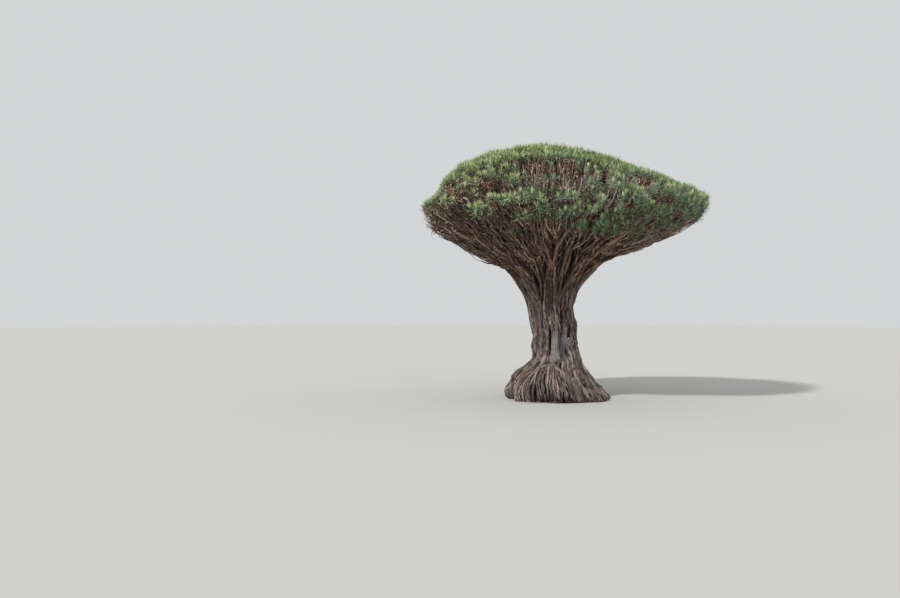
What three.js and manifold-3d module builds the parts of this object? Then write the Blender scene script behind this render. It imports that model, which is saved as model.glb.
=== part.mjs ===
// A very old dragon tree: a massive trunk of fused root strands with a wide foot,
// a fork into a ring of boughs that fan out like the ribs of an umbrella, and a
// domed crown of stiff leaf rosettes. Millimetres, +Z up, origin at the centre of
// the flat cut at ground level. +X is the tree's right, -Y its front.
import * as THREE from 'three';
import { mergeVertices } from 'three/addons/utils/BufferGeometryUtils.js';
import Module from 'manifold-3d';

const wasm = await Module();
wasm.setup();

// ---------------------------------------------------------------- sizes, mm
const TOP = 16720;                                                   // top of the dome
const REACH = { right: 10050, back: 9500, left: 9300, front: 9000 }; // crown radius
const RIM_Z = { right: 13250, back: 13000, left: 12950, front: 13450 }; // rim height
const DOME = { right: 1.4, back: 2.2, left: 3.0, front: 2.3 };       // dome profile power
const UNDER = { right: 5000, back: 5300, left: 5800, front: 5500 };  // depth of the underside
const UNDER_POW = { right: 0.55, back: 0.57, left: 0.6, front: 0.6 };
const SAG = 290;                                                     // the dome is lower at its front right
const SAG_AT = -32;                                                  // in this direction, degrees
const RIM_EDGE = 420;                                                // thickness of the rim

const WAIST = 1350;          // half width of the trunk at its narrowest
const FOOT = 1960;           // how much further the foot reaches at the ground
const FOOT_Z = 2250;         // height over which the foot dies away
const FOOT_POW = 2.26;
const TRUNK_TOP = 6850;      // where the boughs part
const TRUNK_CAP = 7150;      // top of the low cap between them
const LEAN_X = -420;         // the trunk's head stands this far to the left
const TRUNK_SIDES = 32;
const TRUNK_RINGS = 13;

const OUTER_BOUGHS = 8;
const INNER_BOUGHS = 6;
const FORK_AT = 0.52;        // where along its path an outer bough forks
const LIMB_SPREAD = 13;      // degrees that each limb swings to its side
const BOUGH_R = 470;         // radius of an outer bough where it leaves the trunk
const FORK_R = 330;          // and at its fork
const LIMB_R = 265;          // a limb at the fork
const LIMB_TIP_R = 110;      // and at its far end
const INNER_R = 370;
const INNER_TIP_R = 150;

const GAP = 70;              // between neighbouring masses of foliage
const CLEAR = 0.6;           // between a limb and what it meets

// ---------------------------------------------------------------- helpers
const rad = (deg) => deg * Math.PI / 180;
const smooth = (a, b, v) => {
  const t = Math.min(1, Math.max(0, (v - a) / (b - a)));
  return t * t * (3 - 2 * t);
};

// a repeatable number from 0 to 1 for a whole number
function rand(i) {
  let t = Math.imul(i + 1, 0x6D2B79F5);
  t = Math.imul(t ^ (t >>> 15), t | 1);
  t ^= t + Math.imul(t ^ (t >>> 7), t | 61);
  return ((t ^ (t >>> 14)) >>> 0) / 4294967296;
}

// a smooth value round the tree from its four sides
function around(v, phi) {
  return (v.right + v.back + v.left + v.front) / 4
    + (v.right - v.left) / 2 * Math.cos(phi)
    + (v.back - v.front) / 2 * Math.sin(phi)
    + (v.right + v.left - v.back - v.front) / 4 * Math.cos(2 * phi);
}

// ---------------------------------------------------------------- the crown's outline
const reach = (phi) => around(REACH, phi)
  + 170 * Math.sin(5 * phi) + 110 * Math.sin(11 * phi + 0.4) * Math.abs(Math.sin(phi));
const rimZ = (phi) => around(RIM_Z, phi) + 120 * Math.sin(7 * phi) * Math.abs(Math.sin(phi));

function crownTop(r, phi) {
  const rho = Math.min(1, r / reach(phi));
  const z = TOP - (TOP - rimZ(phi)) * rho ** around(DOME, phi);
  const sag = SAG * Math.max(0, Math.cos(phi - SAG_AT * Math.PI / 180)) ** 2;
  return z + 70 * Math.sin(r * 0.0031 + 3 * phi) * rho * (1 - rho) * 4 - sag * rho * rho * (1 - rho) * 6.75;
}

function crownUnder(r, phi) {
  const rho = Math.min(1, r / reach(phi));
  return rimZ(phi) - around(UNDER, phi) * (1 - rho) ** around(UNDER_POW, phi) - RIM_EDGE * smooth(0.8, 1, rho);
}

// ---------------------------------------------------------------- the trunk
const trunkX = (z) => -30 - 220 * Math.exp(-(((z - 1600) / 950) ** 2))
  - 90 * smooth(2800, 3800, z) + (LEAN_X + 90) * smooth(4200, 6500, z);

function trunkRadius(phi, z) {
  const foot = FOOT * Math.exp(-((z / FOOT_Z) ** FOOT_POW));
  let r = WAIST + foot + 150 * smooth(4200, 5000, z) + 230 * smooth(5900, 7000, z);
  // root buttresses round the foot, shallow flutes above them
  const lobes = Math.cos(7 * (phi - rad(176))) * 0.55 + Math.cos(3 * phi + 1.1) * 0.45;
  r *= 1 + (0.012 + 0.085 * Math.exp(-((z / 1900) ** 2))) * lobes;
  r *= 1 + 0.03 * Math.cos(9 * phi + 0.7 + z * 0.0004) * smooth(2500, 4500, z);
  // the rounded curtain of hanging roots on the front of the foot
  const off = Math.atan2(Math.sin(phi - rad(262)), Math.cos(phi - rad(262)));
  r += 420 * Math.exp(-((off / 0.42) ** 2)) * smooth(2750, 1700, z) * smooth(-400, 700, z);
  return r;
}

// a closed skin over a cylinder's grid, from its angle and its level
function skin(sides, rings, place) {
  const geometry = new THREE.CylinderGeometry(1, 1, 1, sides, rings, false);
  geometry.deleteAttribute('normal');
  geometry.deleteAttribute('uv');
  const p = geometry.attributes.position;
  const v = new THREE.Vector3();
  for (let i = 0; i < p.count; i++) {
    v.fromBufferAttribute(p, i);
    const level = 0.5 + v.y;
    const out = Math.hypot(v.x, v.z);
    const at = place(Math.atan2(-v.z, v.x), level, out < 0.5);
    p.setXYZ(i, at.x, at.y, at.z);
  }
  return mergeVertices(geometry, 0.01);
}

function trunkSolid(grow = 0) {
  return skin(TRUNK_SIDES, TRUNK_RINGS, (phi, level, axis) => {
    if (axis) return new THREE.Vector3(trunkX(level > 0.5 ? TRUNK_TOP : 0) * level, 0, level > 0.5 ? TRUNK_CAP + grow : 0);
    const z = TRUNK_TOP * (0.75 * level + 0.25 * level * level);
    const r = trunkRadius(phi, z) * (level > 0.999 ? 0.86 : 1) + grow;
    return new THREE.Vector3(trunkX(z) + r * Math.cos(phi), r * Math.sin(phi), level > 0.999 ? z + grow : z);
  });
}

// ---------------------------------------------------------------- boughs and limbs
// the path of an outer bough and its limbs, in height and distance from the axis
function outerPath(phi) {
  const c = (1 + Math.cos(phi)) / 2;           // 0 on the left, 1 on the right
  const s = Math.abs(Math.sin(phi));
  return new THREE.CubicBezierCurve(
    new THREE.Vector2(1000, 6000),
    new THREE.Vector2(1650 - 350 * c, 7900 + 1000 * c - 250 * s),
    new THREE.Vector2(3600, 9250 + 350 * c),
    new THREE.Vector2(6900 + 500 * c, 11350 + 250 * c + 550 * Math.max(0, -Math.sin(phi))),
  );
}

const outerPhi = (k) => rad(180 + k * 360 / OUTER_BOUGHS + 12 * (rand(k) - 0.5));

function outerPoint(k, side, t) {
  const phi0 = outerPhi(k);
  const p = outerPath(phi0).getPoint(t);
  const u = smooth(FORK_AT - 0.03, 1, t);
  const phi = phi0 + rad(5) * (rand(k + 40) - 0.5) * Math.sin(9 * t) + side * rad(LIMB_SPREAD) * u ** 0.8;
  const lift = side * (rand(k + 60) - 0.5) * 700 * u;
  return new THREE.Vector3(
    LEAN_X * Math.max(0, 1 - t) ** 1.5 + p.x * Math.cos(phi), p.x * Math.sin(phi), p.y + lift);
}

function innerPoint(k, t) {
  const phi = rad(25 + k * 360 / INNER_BOUGHS + 16 * (rand(k + 80) - 0.5)) + rad(24) * (rand(k + 90) - 0.5) * Math.sin(6 * t);
  const p = new THREE.CubicBezierCurve(
    new THREE.Vector2(450, 6300),
    new THREE.Vector2(620 + 200 * rand(k + 20), 8900),
    new THREE.Vector2(1700 + 500 * rand(k + 30), 10900),
    new THREE.Vector2(3100 + 500 * rand(k + 50), 14900),
  ).getPoint(t);
  return new THREE.Vector3(
    LEAN_X * Math.max(0, 1 - t) ** 1.5 + p.x * Math.cos(phi), p.x * Math.sin(phi), p.y);
}

// a tapering limb along a path, from t0 to t1
function limbSolid(point, t0, t1, r0, r1, sides, steps, grow = 0) {
  return skin(sides, steps, (a, level, axis) => {
    const t = t0 + (t1 - t0) * level;
    const at = point(t);
    const ahead = point(t + 0.01).sub(point(t - 0.01)).normalize();
    const end = level < 1e-6 ? -1 : level > 1 - 1e-6 ? 1 : 0;
    at.addScaledVector(ahead, grow * end);
    if (axis) return at;
    const side = new THREE.Vector3(-Math.sin(a), Math.cos(a), 0);
    const across = new THREE.Vector3(-at.y, at.x, 0).normalize();
    across.addScaledVector(ahead, -across.dot(ahead)).normalize();
    const up = new THREE.Vector3().crossVectors(ahead, across);
    const swell = 1 + 0.05 * Math.cos(2 * a + 5 * t);
    const r = (r0 + (r1 - r0) * level) * swell + grow;
    return at.addScaledVector(across, r * side.y).addScaledVector(up, -r * side.x);
  });
}

// ---------------------------------------------------------------- foliage masses
const seeds = [];
function seed(name, r, deg, z, size) {
  const phi = rad(deg);
  seeds.push({ name, size, at: new THREE.Vector3(r * Math.cos(phi), r * Math.sin(phi), z) });
}
const WORDS = ['right', 'right_back', 'back', 'back_left', 'left', 'left_front', 'front', 'front_right'];

seed('foliage_top', 250, 200, TOP - 1050, [2300, 1150]);
for (let k = 0; k < 6; k++) {
  const deg = 12 + 60 * k + 14 * (rand(k + 100) - 0.5);
  const r = 3900 + 500 * (rand(k + 110) - 0.5);
  seed(`foliage_inner_${k + 1}`, r, deg, crownTop(r, rad(deg)) - 1150, [2500, 1300]);
}
for (let k = 0; k < 12; k++) {
  const deg = 30 * k + 7 * (rand(k + 120) - 0.5);
  const r = reach(rad(deg)) * (0.765 + 0.03 * (rand(k + 130) - 0.5));
  seed(`foliage_outer_${String(k + 1).padStart(2, '0')}`, r, deg, crownTop(r, rad(deg)) - 1150, [2900, 1450]);
}
// under the rim, one lower tier for each outer bough's pair of limbs
for (let k = 0; k < OUTER_BOUGHS; k++) {
  const deg = outerPhi(k) * 180 / Math.PI + 4 * (rand(k + 140) - 0.5);
  const r = reach(rad(deg)) * (0.735 + 0.04 * (rand(k + 150) - 0.5));
  seed(`foliage_low_${WORDS[(k + 4) % 8]}`, r, deg, crownUnder(r, rad(deg)) + 850, [2750, 1500]);
}

const inCrown = (p) => {
  const r = Math.hypot(p.x, p.y), phi = Math.atan2(p.y, p.x);
  return r < reach(phi) && p.z < crownTop(r, phi) && p.z > crownUnder(r, phi);
};

// an uneven lump: it swells from its seed until it meets the crown's outline,
// its neighbours or its own bumpy limit
function massSolid(index, scale = 1) {
  const { at, size } = seeds[index];
  const geometry = new THREE.IcosahedronGeometry(1, 2);
  geometry.deleteAttribute('normal');
  geometry.deleteAttribute('uv');
  const p = geometry.attributes.position;
  const d = new THREE.Vector3(), q = new THREE.Vector3(), n = new THREE.Vector3();
  const outward = Math.atan2(at.y, at.x);
  for (let i = 0; i < p.count; i++) {
    d.fromBufferAttribute(p, i).normalize();
    d.set(Math.round(d.x * 1e5) / 1e5, Math.round(d.y * 1e5) / 1e5, Math.round(d.z * 1e5) / 1e5).normalize();
    d.applyAxisAngle(new THREE.Vector3(0, 0, 1), outward);
    const bumps = 1 + 0.1 * Math.sin(3.1 * d.x + 2.3 * d.y + index) * Math.cos(2.7 * d.z - 1.9 * d.x + 2 * index)
      + 0.05 * Math.sin(6.1 * d.y - 5.3 * d.z + 3 * index);
    let limit = bumps / Math.hypot(Math.hypot(d.x, d.y) / size[0], d.z / size[1]);
    seeds.forEach((other, j) => {
      if (j === index) return;
      n.subVectors(other.at, at);
      const far = n.length();
      const facing = d.dot(n) / far;
      if (facing > 1e-6) limit = Math.min(limit, (far - GAP) / 2 / facing);
    });
    let s = 120;
    while (s < limit && inCrown(q.copy(at).addScaledVector(d, s + 40))) s += 40;
    s = Math.min(s, limit) * scale;
    q.copy(at).addScaledVector(d, s);
    p.setXYZ(i, q.x, q.y, q.z);
  }
  return mergeVertices(geometry, 0.5);
}

// ---------------------------------------------------------------- cutting
function toSolid(geometry) {
  return new wasm.Manifold(new wasm.Mesh({
    numProp: 3,
    vertProperties: new Float32Array(geometry.attributes.position.array),
    triVerts: new Uint32Array(geometry.index.array),
  }));
}

function toGeometry(solid) {
  const mesh = solid.getMesh();
  const geometry = new THREE.BufferGeometry();
  geometry.setAttribute('position', new THREE.BufferAttribute(new Float32Array(mesh.vertProperties), 3));
  geometry.setIndex(new THREE.BufferAttribute(new Uint32Array(mesh.triVerts), 1));
  return geometry;
}

// a limb ends where it meets what was there before it
function trimmed(solid, others) {
  let cut = solid;
  for (const other of others) cut = cut.subtract(other);
  const pieces = cut.decompose();
  return pieces.reduce((a, b) => (a.volume() > b.volume() ? a : b));
}

// ---------------------------------------------------------------- assembly
const tree = new THREE.Group();
const finishes = {
  bark: new THREE.MeshStandardMaterial({ color: 0x8d7f73, roughness: 0.92, metalness: 0 }),
  branch: new THREE.MeshStandardMaterial({ color: 0x6f5f56, roughness: 0.9, metalness: 0 }),
  foliage: new THREE.MeshStandardMaterial({ color: 0x6f8a5e, roughness: 0.7, metalness: 0 }),
};

function add(name, geometry, finish) {
  const shown = geometry.toNonIndexed();
  shown.computeVertexNormals();
  const mesh = new THREE.Mesh(shown, finish);
  mesh.name = name;
  tree.add(mesh);
}

add('trunk', trunkSolid(), finishes.bark);

const inTheWay = [toSolid(trunkSolid(CLEAR))];
seeds.forEach((item, i) => {
  add(item.name, massSolid(i), finishes.foliage);
  inTheWay.push(toSolid(massSolid(i, 1.0025)));
});

function addLimb(name, point, t0, t1, r0, r1, sides, steps) {
  const plain = toSolid(limbSolid(point, t0, t1, r0, r1, sides, steps));
  add(name, toGeometry(trimmed(plain, inTheWay)), finishes.branch);
  inTheWay.push(toSolid(limbSolid(point, t0, t1, r0, r1, sides, steps, CLEAR)));
}

for (let k = 0; k < OUTER_BOUGHS; k++) {
  addLimb(`bough_${WORDS[(k + 4) % 8]}`, (t) => outerPoint(k, 0, t), 0, FORK_AT, BOUGH_R, FORK_R, 8, 4);
}
for (let k = 0; k < INNER_BOUGHS; k++) {
  addLimb(`bough_inner_${k + 1}`, (t) => innerPoint(k, t), 0, 1, INNER_R, INNER_TIP_R, 7, 6);
}
for (let k = 0; k < OUTER_BOUGHS; k++) {
  for (const side of [-1, 1]) {
    addLimb(`limb_${WORDS[(k + 4) % 8]}_${side < 0 ? 'a' : 'b'}`,
      (t) => outerPoint(k, side, t), FORK_AT - 0.035, 1, LIMB_R, LIMB_TIP_R, 7, 4);
  }
}

export default tree;
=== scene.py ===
"""Looks for the very old dragon tree: fused root strands on the trunk, forking boughs, branchlets and stiff leaf rosettes."""
import math

import bpy
import numpy as np
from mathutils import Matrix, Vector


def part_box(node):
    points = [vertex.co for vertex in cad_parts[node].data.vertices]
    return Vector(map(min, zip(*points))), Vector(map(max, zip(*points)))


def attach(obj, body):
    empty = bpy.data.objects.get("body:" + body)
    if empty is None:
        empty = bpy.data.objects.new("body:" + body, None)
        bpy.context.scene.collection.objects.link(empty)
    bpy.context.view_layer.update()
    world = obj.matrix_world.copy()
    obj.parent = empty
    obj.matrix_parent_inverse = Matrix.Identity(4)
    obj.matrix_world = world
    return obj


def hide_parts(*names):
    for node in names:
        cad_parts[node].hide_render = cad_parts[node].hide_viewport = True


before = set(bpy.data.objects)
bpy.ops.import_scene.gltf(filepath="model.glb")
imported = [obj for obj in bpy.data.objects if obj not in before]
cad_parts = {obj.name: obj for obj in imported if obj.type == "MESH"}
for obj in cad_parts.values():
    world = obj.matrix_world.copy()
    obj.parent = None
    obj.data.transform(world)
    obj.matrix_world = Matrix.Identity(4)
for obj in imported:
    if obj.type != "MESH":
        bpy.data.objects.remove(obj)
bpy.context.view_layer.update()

# ------------------------------------------------------------------ sizes, metres (the frame's own)
TOP = 16.72
REACH = (10.05, 9.5, 9.3, 9.0)          # right, back, left, front
RIM_Z = (13.25, 13.0, 12.95, 13.45)
DOME = (1.4, 2.2, 3.0, 2.3)
UNDER = (5.0, 5.3, 5.8, 5.5)
UNDER_POW = (0.55, 0.57, 0.6, 0.6)
SAG, SAG_AT, RIM_EDGE = 0.29, math.radians(-32), 0.42
WAIST, FOOT, FOOT_Z, FOOT_POW = 1.35, 1.96, 2.25, 2.26
TRUNK_TOP, TRUNK_CAP, LEAN = 6.85, 7.15, -0.42
OUTER, INNER, FORK_AT, SPREAD = 8, 6, 0.52, math.radians(13)
WORDS = ["right", "right_back", "back", "back_left", "left", "left_front", "front", "front_right"]

TIP_R = 0.033          # radius of a branchlet under its rosette
LEAF = 0.37            # length of a full-grown leaf
LEAF_W = 0.037        # its greatest width
GOLDEN = math.pi * (3 - math.sqrt(5))


# ------------------------------------------------------------------ helpers
def rand(i):
    """A repeatable number from 0 to 1 for a whole number."""
    m = 0xFFFFFFFF
    t = ((i + 1) * 0x6D2B79F5) & m
    t = ((t ^ (t >> 15)) * (t | 1)) & m
    t ^= (t + (((t ^ (t >> 7)) * (t | 61)) & m)) & m
    return ((t ^ (t >> 14)) & m) / 4294967296


def smooth(a, b, v):
    t = np.clip((np.asarray(v, float) - a) / (b - a), 0, 1)
    return t * t * (3 - 2 * t)


def around(v, phi):
    right, back, left, front = v
    return ((right + back + left + front) / 4 + (right - left) / 2 * np.cos(phi)
            + (back - front) / 2 * np.sin(phi) + (right + left - back - front) / 4 * np.cos(2 * phi))


def unit(v):
    v = np.asarray(v, float)
    return v / np.maximum(np.linalg.norm(v, axis=-1, keepdims=True), 1e-9)


def wrap(a):
    return (a + np.pi) % (2 * np.pi) - np.pi


def ripple(p, size, seed):
    """A smooth, repeatable noise from about -1 to 1 over points p."""
    rng = np.random.default_rng(seed)
    total = 0.0
    for _ in range(7):
        k = rng.normal(size=3) * 2.2 / size
        total = total + np.sin(p @ k + rng.uniform(0, 6.28))
    return total / 3.0


# ------------------------------------------------------------------ the crown's outline
def reach(phi):
    return around(REACH, phi) + 0.17 * np.sin(5 * phi) + 0.11 * np.sin(11 * phi + 0.4) * np.abs(np.sin(phi))


def rim_z(phi):
    return around(RIM_Z, phi) + 0.12 * np.sin(7 * phi) * np.abs(np.sin(phi))


def crown_top(r, phi):
    rho = np.minimum(1, r / reach(phi))
    z = TOP - (TOP - rim_z(phi)) * rho ** around(DOME, phi)
    sag = SAG * np.maximum(0, np.cos(phi - SAG_AT)) ** 2
    return z + 0.07 * np.sin(r * 3.1 + 3 * phi) * rho * (1 - rho) * 4 - sag * rho * rho * (1 - rho) * 6.75


def crown_under(r, phi):
    rho = np.minimum(1, r / reach(phi))
    return rim_z(phi) - around(UNDER, phi) * (1 - rho) ** around(UNDER_POW, phi) - RIM_EDGE * smooth(0.8, 1, rho)


# ------------------------------------------------------------------ trunk and boughs, as the CAD has them
def trunk_x(z):
    return (-0.03 - 0.22 * np.exp(-(((z - 1.6) / 0.95) ** 2)) - 0.09 * smooth(2.8, 3.8, z)
            + (LEAN + 0.09) * smooth(4.2, 6.5, z))


def trunk_radius(phi, z):
    r = WAIST + FOOT * np.exp(-((z / FOOT_Z) ** FOOT_POW)) + 0.15 * smooth(4.2, 5, z) + 0.23 * smooth(5.9, 7, z)
    lobes = np.cos(7 * (phi - math.radians(176))) * 0.55 + np.cos(3 * phi + 1.1) * 0.45
    r = r * (1 + (0.012 + 0.085 * np.exp(-((z / 1.9) ** 2))) * lobes)
    r = r * (1 + 0.03 * np.cos(9 * phi + 0.7 + z * 0.4) * smooth(2.5, 4.5, z))
    off = wrap(phi - math.radians(262))
    # the foot's left flank turns in at the ground, and its right flank is hollowed above it
    flank = 0.26 * smooth(1.0, 0.0, z) * smooth(0.45, 0.95, np.cos(phi - math.radians(190)))
    flank = flank + 0.32 * np.exp(-(((z - 0.95) / 0.62) ** 2)) * smooth(0.45, 0.95, np.cos(phi + 0.1))
    return r + 0.42 * np.exp(-((off / 0.42) ** 2)) * smooth(2.75, 1.7, z) * smooth(-0.4, 0.7, z) - flank


def bezier(p, t):
    u = 1 - t
    return [u ** 3 * p[0][i] + 3 * u * u * t * p[1][i] + 3 * u * t * t * p[2][i] + t ** 3 * p[3][i] for i in (0, 1)]


def outer_phi(k):
    return math.radians(180 + k * 360 / OUTER + 12 * (rand(k) - 0.5))


def placed(r, phi, z, t):
    return np.stack([LEAN * np.maximum(0, 1 - t) ** 1.5 + r * np.cos(phi), r * np.sin(phi), z], -1)


def outer_point(k, side, t):
    t = np.asarray(t, float)
    phi0 = outer_phi(k)
    c, s = (1 + math.cos(phi0)) / 2, abs(math.sin(phi0))
    r, z = bezier([(1.0, 6.0), (1.65 - 0.35 * c, 7.9 + c - 0.25 * s), (3.6, 9.25 + 0.35 * c),
                   (6.9 + 0.5 * c, 11.35 + 0.25 * c + 0.55 * max(0, -math.sin(phi0)))], t)
    u = smooth(FORK_AT - 0.03, 1, t)
    phi = phi0 + math.radians(5) * (rand(k + 40) - 0.5) * np.sin(9 * t) + side * SPREAD * u ** 0.8
    return placed(r, phi, z + side * (rand(k + 60) - 0.5) * 0.7 * u, t)


def inner_point(k, t):
    t = np.asarray(t, float)
    phi = (math.radians(25 + k * 360 / INNER + 16 * (rand(k + 80) - 0.5))
           + math.radians(24) * (rand(k + 90) - 0.5) * np.sin(6 * t))
    r, z = bezier([(0.45, 6.3), (0.62 + 0.2 * rand(k + 20), 8.9), (1.7 + 0.5 * rand(k + 30), 10.9),
                   (3.1 + 0.5 * rand(k + 50), 14.9)], t)
    return placed(r, phi, z, t)


def between_point(k, t):
    """Slimmer boughs that rise in the gaps of the outer ring."""
    t = np.asarray(t, float)
    phi = outer_phi(k) + math.radians(22.5 + 7 * (rand(k + 200) - 0.5)) + math.radians(7) * (rand(k + 210) - 0.5) * np.sin(7 * t)
    c = (1 + math.cos(outer_phi(k) + 0.39)) / 2
    r, z = bezier([(0.9, 6.2), (1.35 - 0.25 * c, 8.2 + 0.8 * c), (3.3, 9.75 + 0.3 * c), (6.1 + 0.5 * c, 12.1)], t)
    return placed(r, phi, z, t)


def middle_point(k, t):
    """Boughs that rise steeply between the ring and the innermost ones."""
    t = np.asarray(t, float)
    phi = math.radians(8 + 40 * k + 10 * (rand(k + 220) - 0.5)) + math.radians(12) * (rand(k + 230) - 0.5) * np.sin(6 * t)
    r, z = bezier([(0.75, 6.4), (1.0, 8.6), (2.5 + 0.4 * rand(k + 240), 10.6), (4.9 + 0.5 * rand(k + 250), 13.5)], t)
    return placed(r, phi, z, t)


# ------------------------------------------------------------------ meshes
def make(name, verts, quads=None, tris=None, quad_slots=None, tri_slots=None, shades=None, shaded_smooth=True, facts=None):
    quads = np.zeros((0, 4), int) if quads is None else np.asarray(quads)
    tris = np.zeros((0, 3), int) if tris is None else np.asarray(tris)
    me = bpy.data.meshes.new(name)
    me.vertices.add(len(verts))
    me.vertices.foreach_set("co", np.ascontiguousarray(verts, np.float32).ravel())
    loops = np.concatenate([quads.ravel(), tris.ravel()]).astype(np.int32)
    me.loops.add(len(loops))
    me.loops.foreach_set("vertex_index", loops)
    n4, n3 = len(quads), len(tris)
    me.polygons.add(n4 + n3)
    starts = np.concatenate([np.arange(n4) * 4, n4 * 4 + np.arange(n3) * 3]).astype(np.int32)
    me.polygons.foreach_set("loop_start", starts)
    me.update(calc_edges=True)
    if quad_slots is not None or tri_slots is not None:
        a = np.zeros(n4, int) if quad_slots is None else quad_slots
        b = np.zeros(n3, int) if tri_slots is None else tri_slots
        me.polygons.foreach_set("material_index", np.concatenate([a, b]).astype(np.int32))
    me.polygons.foreach_set("use_smooth", np.full(n4 + n3, shaded_smooth))
    for key, values in (facts or {}).items():
        at = me.attributes.new(key, "FLOAT", "POINT")
        at.data.foreach_set("value", np.ascontiguousarray(values, np.float32))
    ob = bpy.data.objects.new(name, me)
    bpy.context.scene.collection.objects.link(ob)
    for m in shades or []:
        me.materials.append(m)
    return ob


class Pile:
    """Collects parts of one mesh."""

    def __init__(self):
        self.verts, self.quads, self.tris, self.qs, self.ts, self.facts, self.count = [], [], [], [], [], {}, 0

    def add(self, verts, quads=None, tris=None, quad_slots=None, tri_slots=None, **facts):
        n = self.count
        self.verts.append(verts)
        if quads is not None and len(quads):
            self.quads.append(np.asarray(quads) + n)
            self.qs.append(np.zeros(len(quads), int) if quad_slots is None else quad_slots)
        if tris is not None and len(tris):
            self.tris.append(np.asarray(tris) + n)
            self.ts.append(np.zeros(len(tris), int) if tri_slots is None else tri_slots)
        for key, values in facts.items():
            self.facts.setdefault(key, []).append(np.broadcast_to(values, len(verts)))
        self.count += len(verts)

    def triangles(self):
        return 2 * sum(len(q) for q in self.quads) + sum(len(t) for t in self.tris)

    def make(self, name, shades):
        join = lambda parts, width: np.concatenate(parts) if parts else np.zeros((0, width), int)
        return make(name, np.concatenate(self.verts), join(self.quads, 4), join(self.tris, 3),
                    np.concatenate(self.qs) if self.qs else None, np.concatenate(self.ts) if self.ts else None,
                    shades, facts={k: np.concatenate(v) for k, v in self.facts.items()})


def grid_quads(rows, cols, closed=True):
    i, j = np.meshgrid(np.arange(rows - 1), np.arange(cols if closed else cols - 1), indexing="ij")
    k = (j + 1) % cols
    return np.stack([i * cols + j, i * cols + k, (i + 1) * cols + k, (i + 1) * cols + j], -1).reshape(-1, 4)


def frames(points):
    """Two directions across a path at each of its points, turning as little as they can."""
    ahead = unit(np.gradient(points, axis=0))
    first = np.cross(ahead[0], (0.31, -0.22, 0.93) if abs(ahead[0][2]) < 0.8 else (1.0, 0.2, 0.0))
    across = [unit(first)]
    for i in range(1, len(points)):
        a = across[-1] - ahead[i] * np.dot(across[-1], ahead[i])
        across.append(unit(a))
    across = np.array(across)
    return ahead, across, np.cross(ahead, across)


# ------------------------------------------------------------------ relief of fused strands
def strands(theta, level, radius, items, tones=None):
    """Height and tone of many half-round strands that run along a tube's skin, the highest one winning.
    theta: angles of the columns; level: position of the rows along the tube; radius: the tube's radius at each row."""
    high = np.zeros((len(level), len(theta)))
    tone = np.zeros_like(high)
    for it in items:
        live = smooth(it["foot"] - it["fade"], it["foot"], level) * (1 - smooth(it["top"], it["top"] + it["fade"], level))
        rows = live > 0.02
        if not rows.any():
            continue
        lv, rd, lf = level[rows], radius[rows], live[rows]
        centre = it["at"] + it["drift"] * (lv - it["mid"]) + it["sway"] * np.sin(lv * it["wave"] + it["phase"])
        d = wrap(theta[None] - centre[:, None]) * rd[:, None]
        half = it["half"] * (0.55 + 0.45 * lf)
        h = it["high"] * lf[:, None] * np.sqrt(np.clip(1 - (d / half[:, None]) ** 2, 0, 1))
        cur = high[rows]
        win = h > cur
        cur[win] = h[win]
        high[rows] = cur
        tn = tone[rows]
        tn[win] = it["tone"]
        tone[rows] = tn
    return high, tone


def strand(rng, at, half, high, foot, top, fade=0.35, drift=0.0, sway=0.03, mid=4.0, tone=None):
    return dict(at=at, half=half, high=high, foot=foot, top=top, fade=fade, drift=drift, mid=mid,
                sway=sway * rng.uniform(0.4, 1.3), wave=rng.uniform(0.9, 2.6), phase=rng.uniform(0, 6.28),
                tone=rng.uniform(0, 1) if tone is None else tone)


def ray_circle(theta, cx, cy, r):
    """How far a ray from the origin reaches to the far side of a circle, or 0 where it misses."""
    along = np.cos(theta) * cx + np.sin(theta) * cy
    off2 = cx * cx + cy * cy - along ** 2
    return np.where((off2 < r * r) & (along > 0), along + np.sqrt(np.maximum(r * r - off2, 0)), 0)


# ---- the trunk
COLS, ROWS = 300, 160
theta = np.arange(COLS) * 2 * np.pi / COLS
level = np.concatenate([np.linspace(0, 6.9, ROWS - 10) ** 1.0, 6.9 + 0.42 * np.sin(np.linspace(0.12, 1, 10) * np.pi / 2)])
rng = np.random.default_rng(11)

base = trunk_radius(theta[None], np.minimum(level, 7.0)[:, None])
# towards the fork the skin gathers round the boughs
star = np.zeros_like(base)
for i, z in enumerate(level):
    if z < 4.6:
        continue
    best = np.full(COLS, 0.95)
    for k in range(OUTER):
        t = np.linspace(0, 0.35, 60)
        p = outer_point(k, 0, t)
        j = int(np.argmin(np.abs(p[:, 2] - max(z, 6.0))))
        cx, cy = p[j, 0] - trunk_x(z), p[j, 1]
        if z < 6.0:
            cx, cy = cx * (1 + 0.02 * (6 - z)), cy * (1 + 0.02 * (6 - z))
        best = np.maximum(best, ray_circle(theta, cx, cy, 0.50 - 0.13 * (max(z, 5.9) - 5.9)))
    star[i] = best
for _ in range(2):
    star = (np.roll(star, 1, 1) + star + np.roll(star, -1, 1)) / 3
gather = smooth(4.8, 6.7, level)[:, None]
base = base * (1 - gather) + np.where(gather > 0, star, base) * gather
mean_r = base.mean(1)

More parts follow.
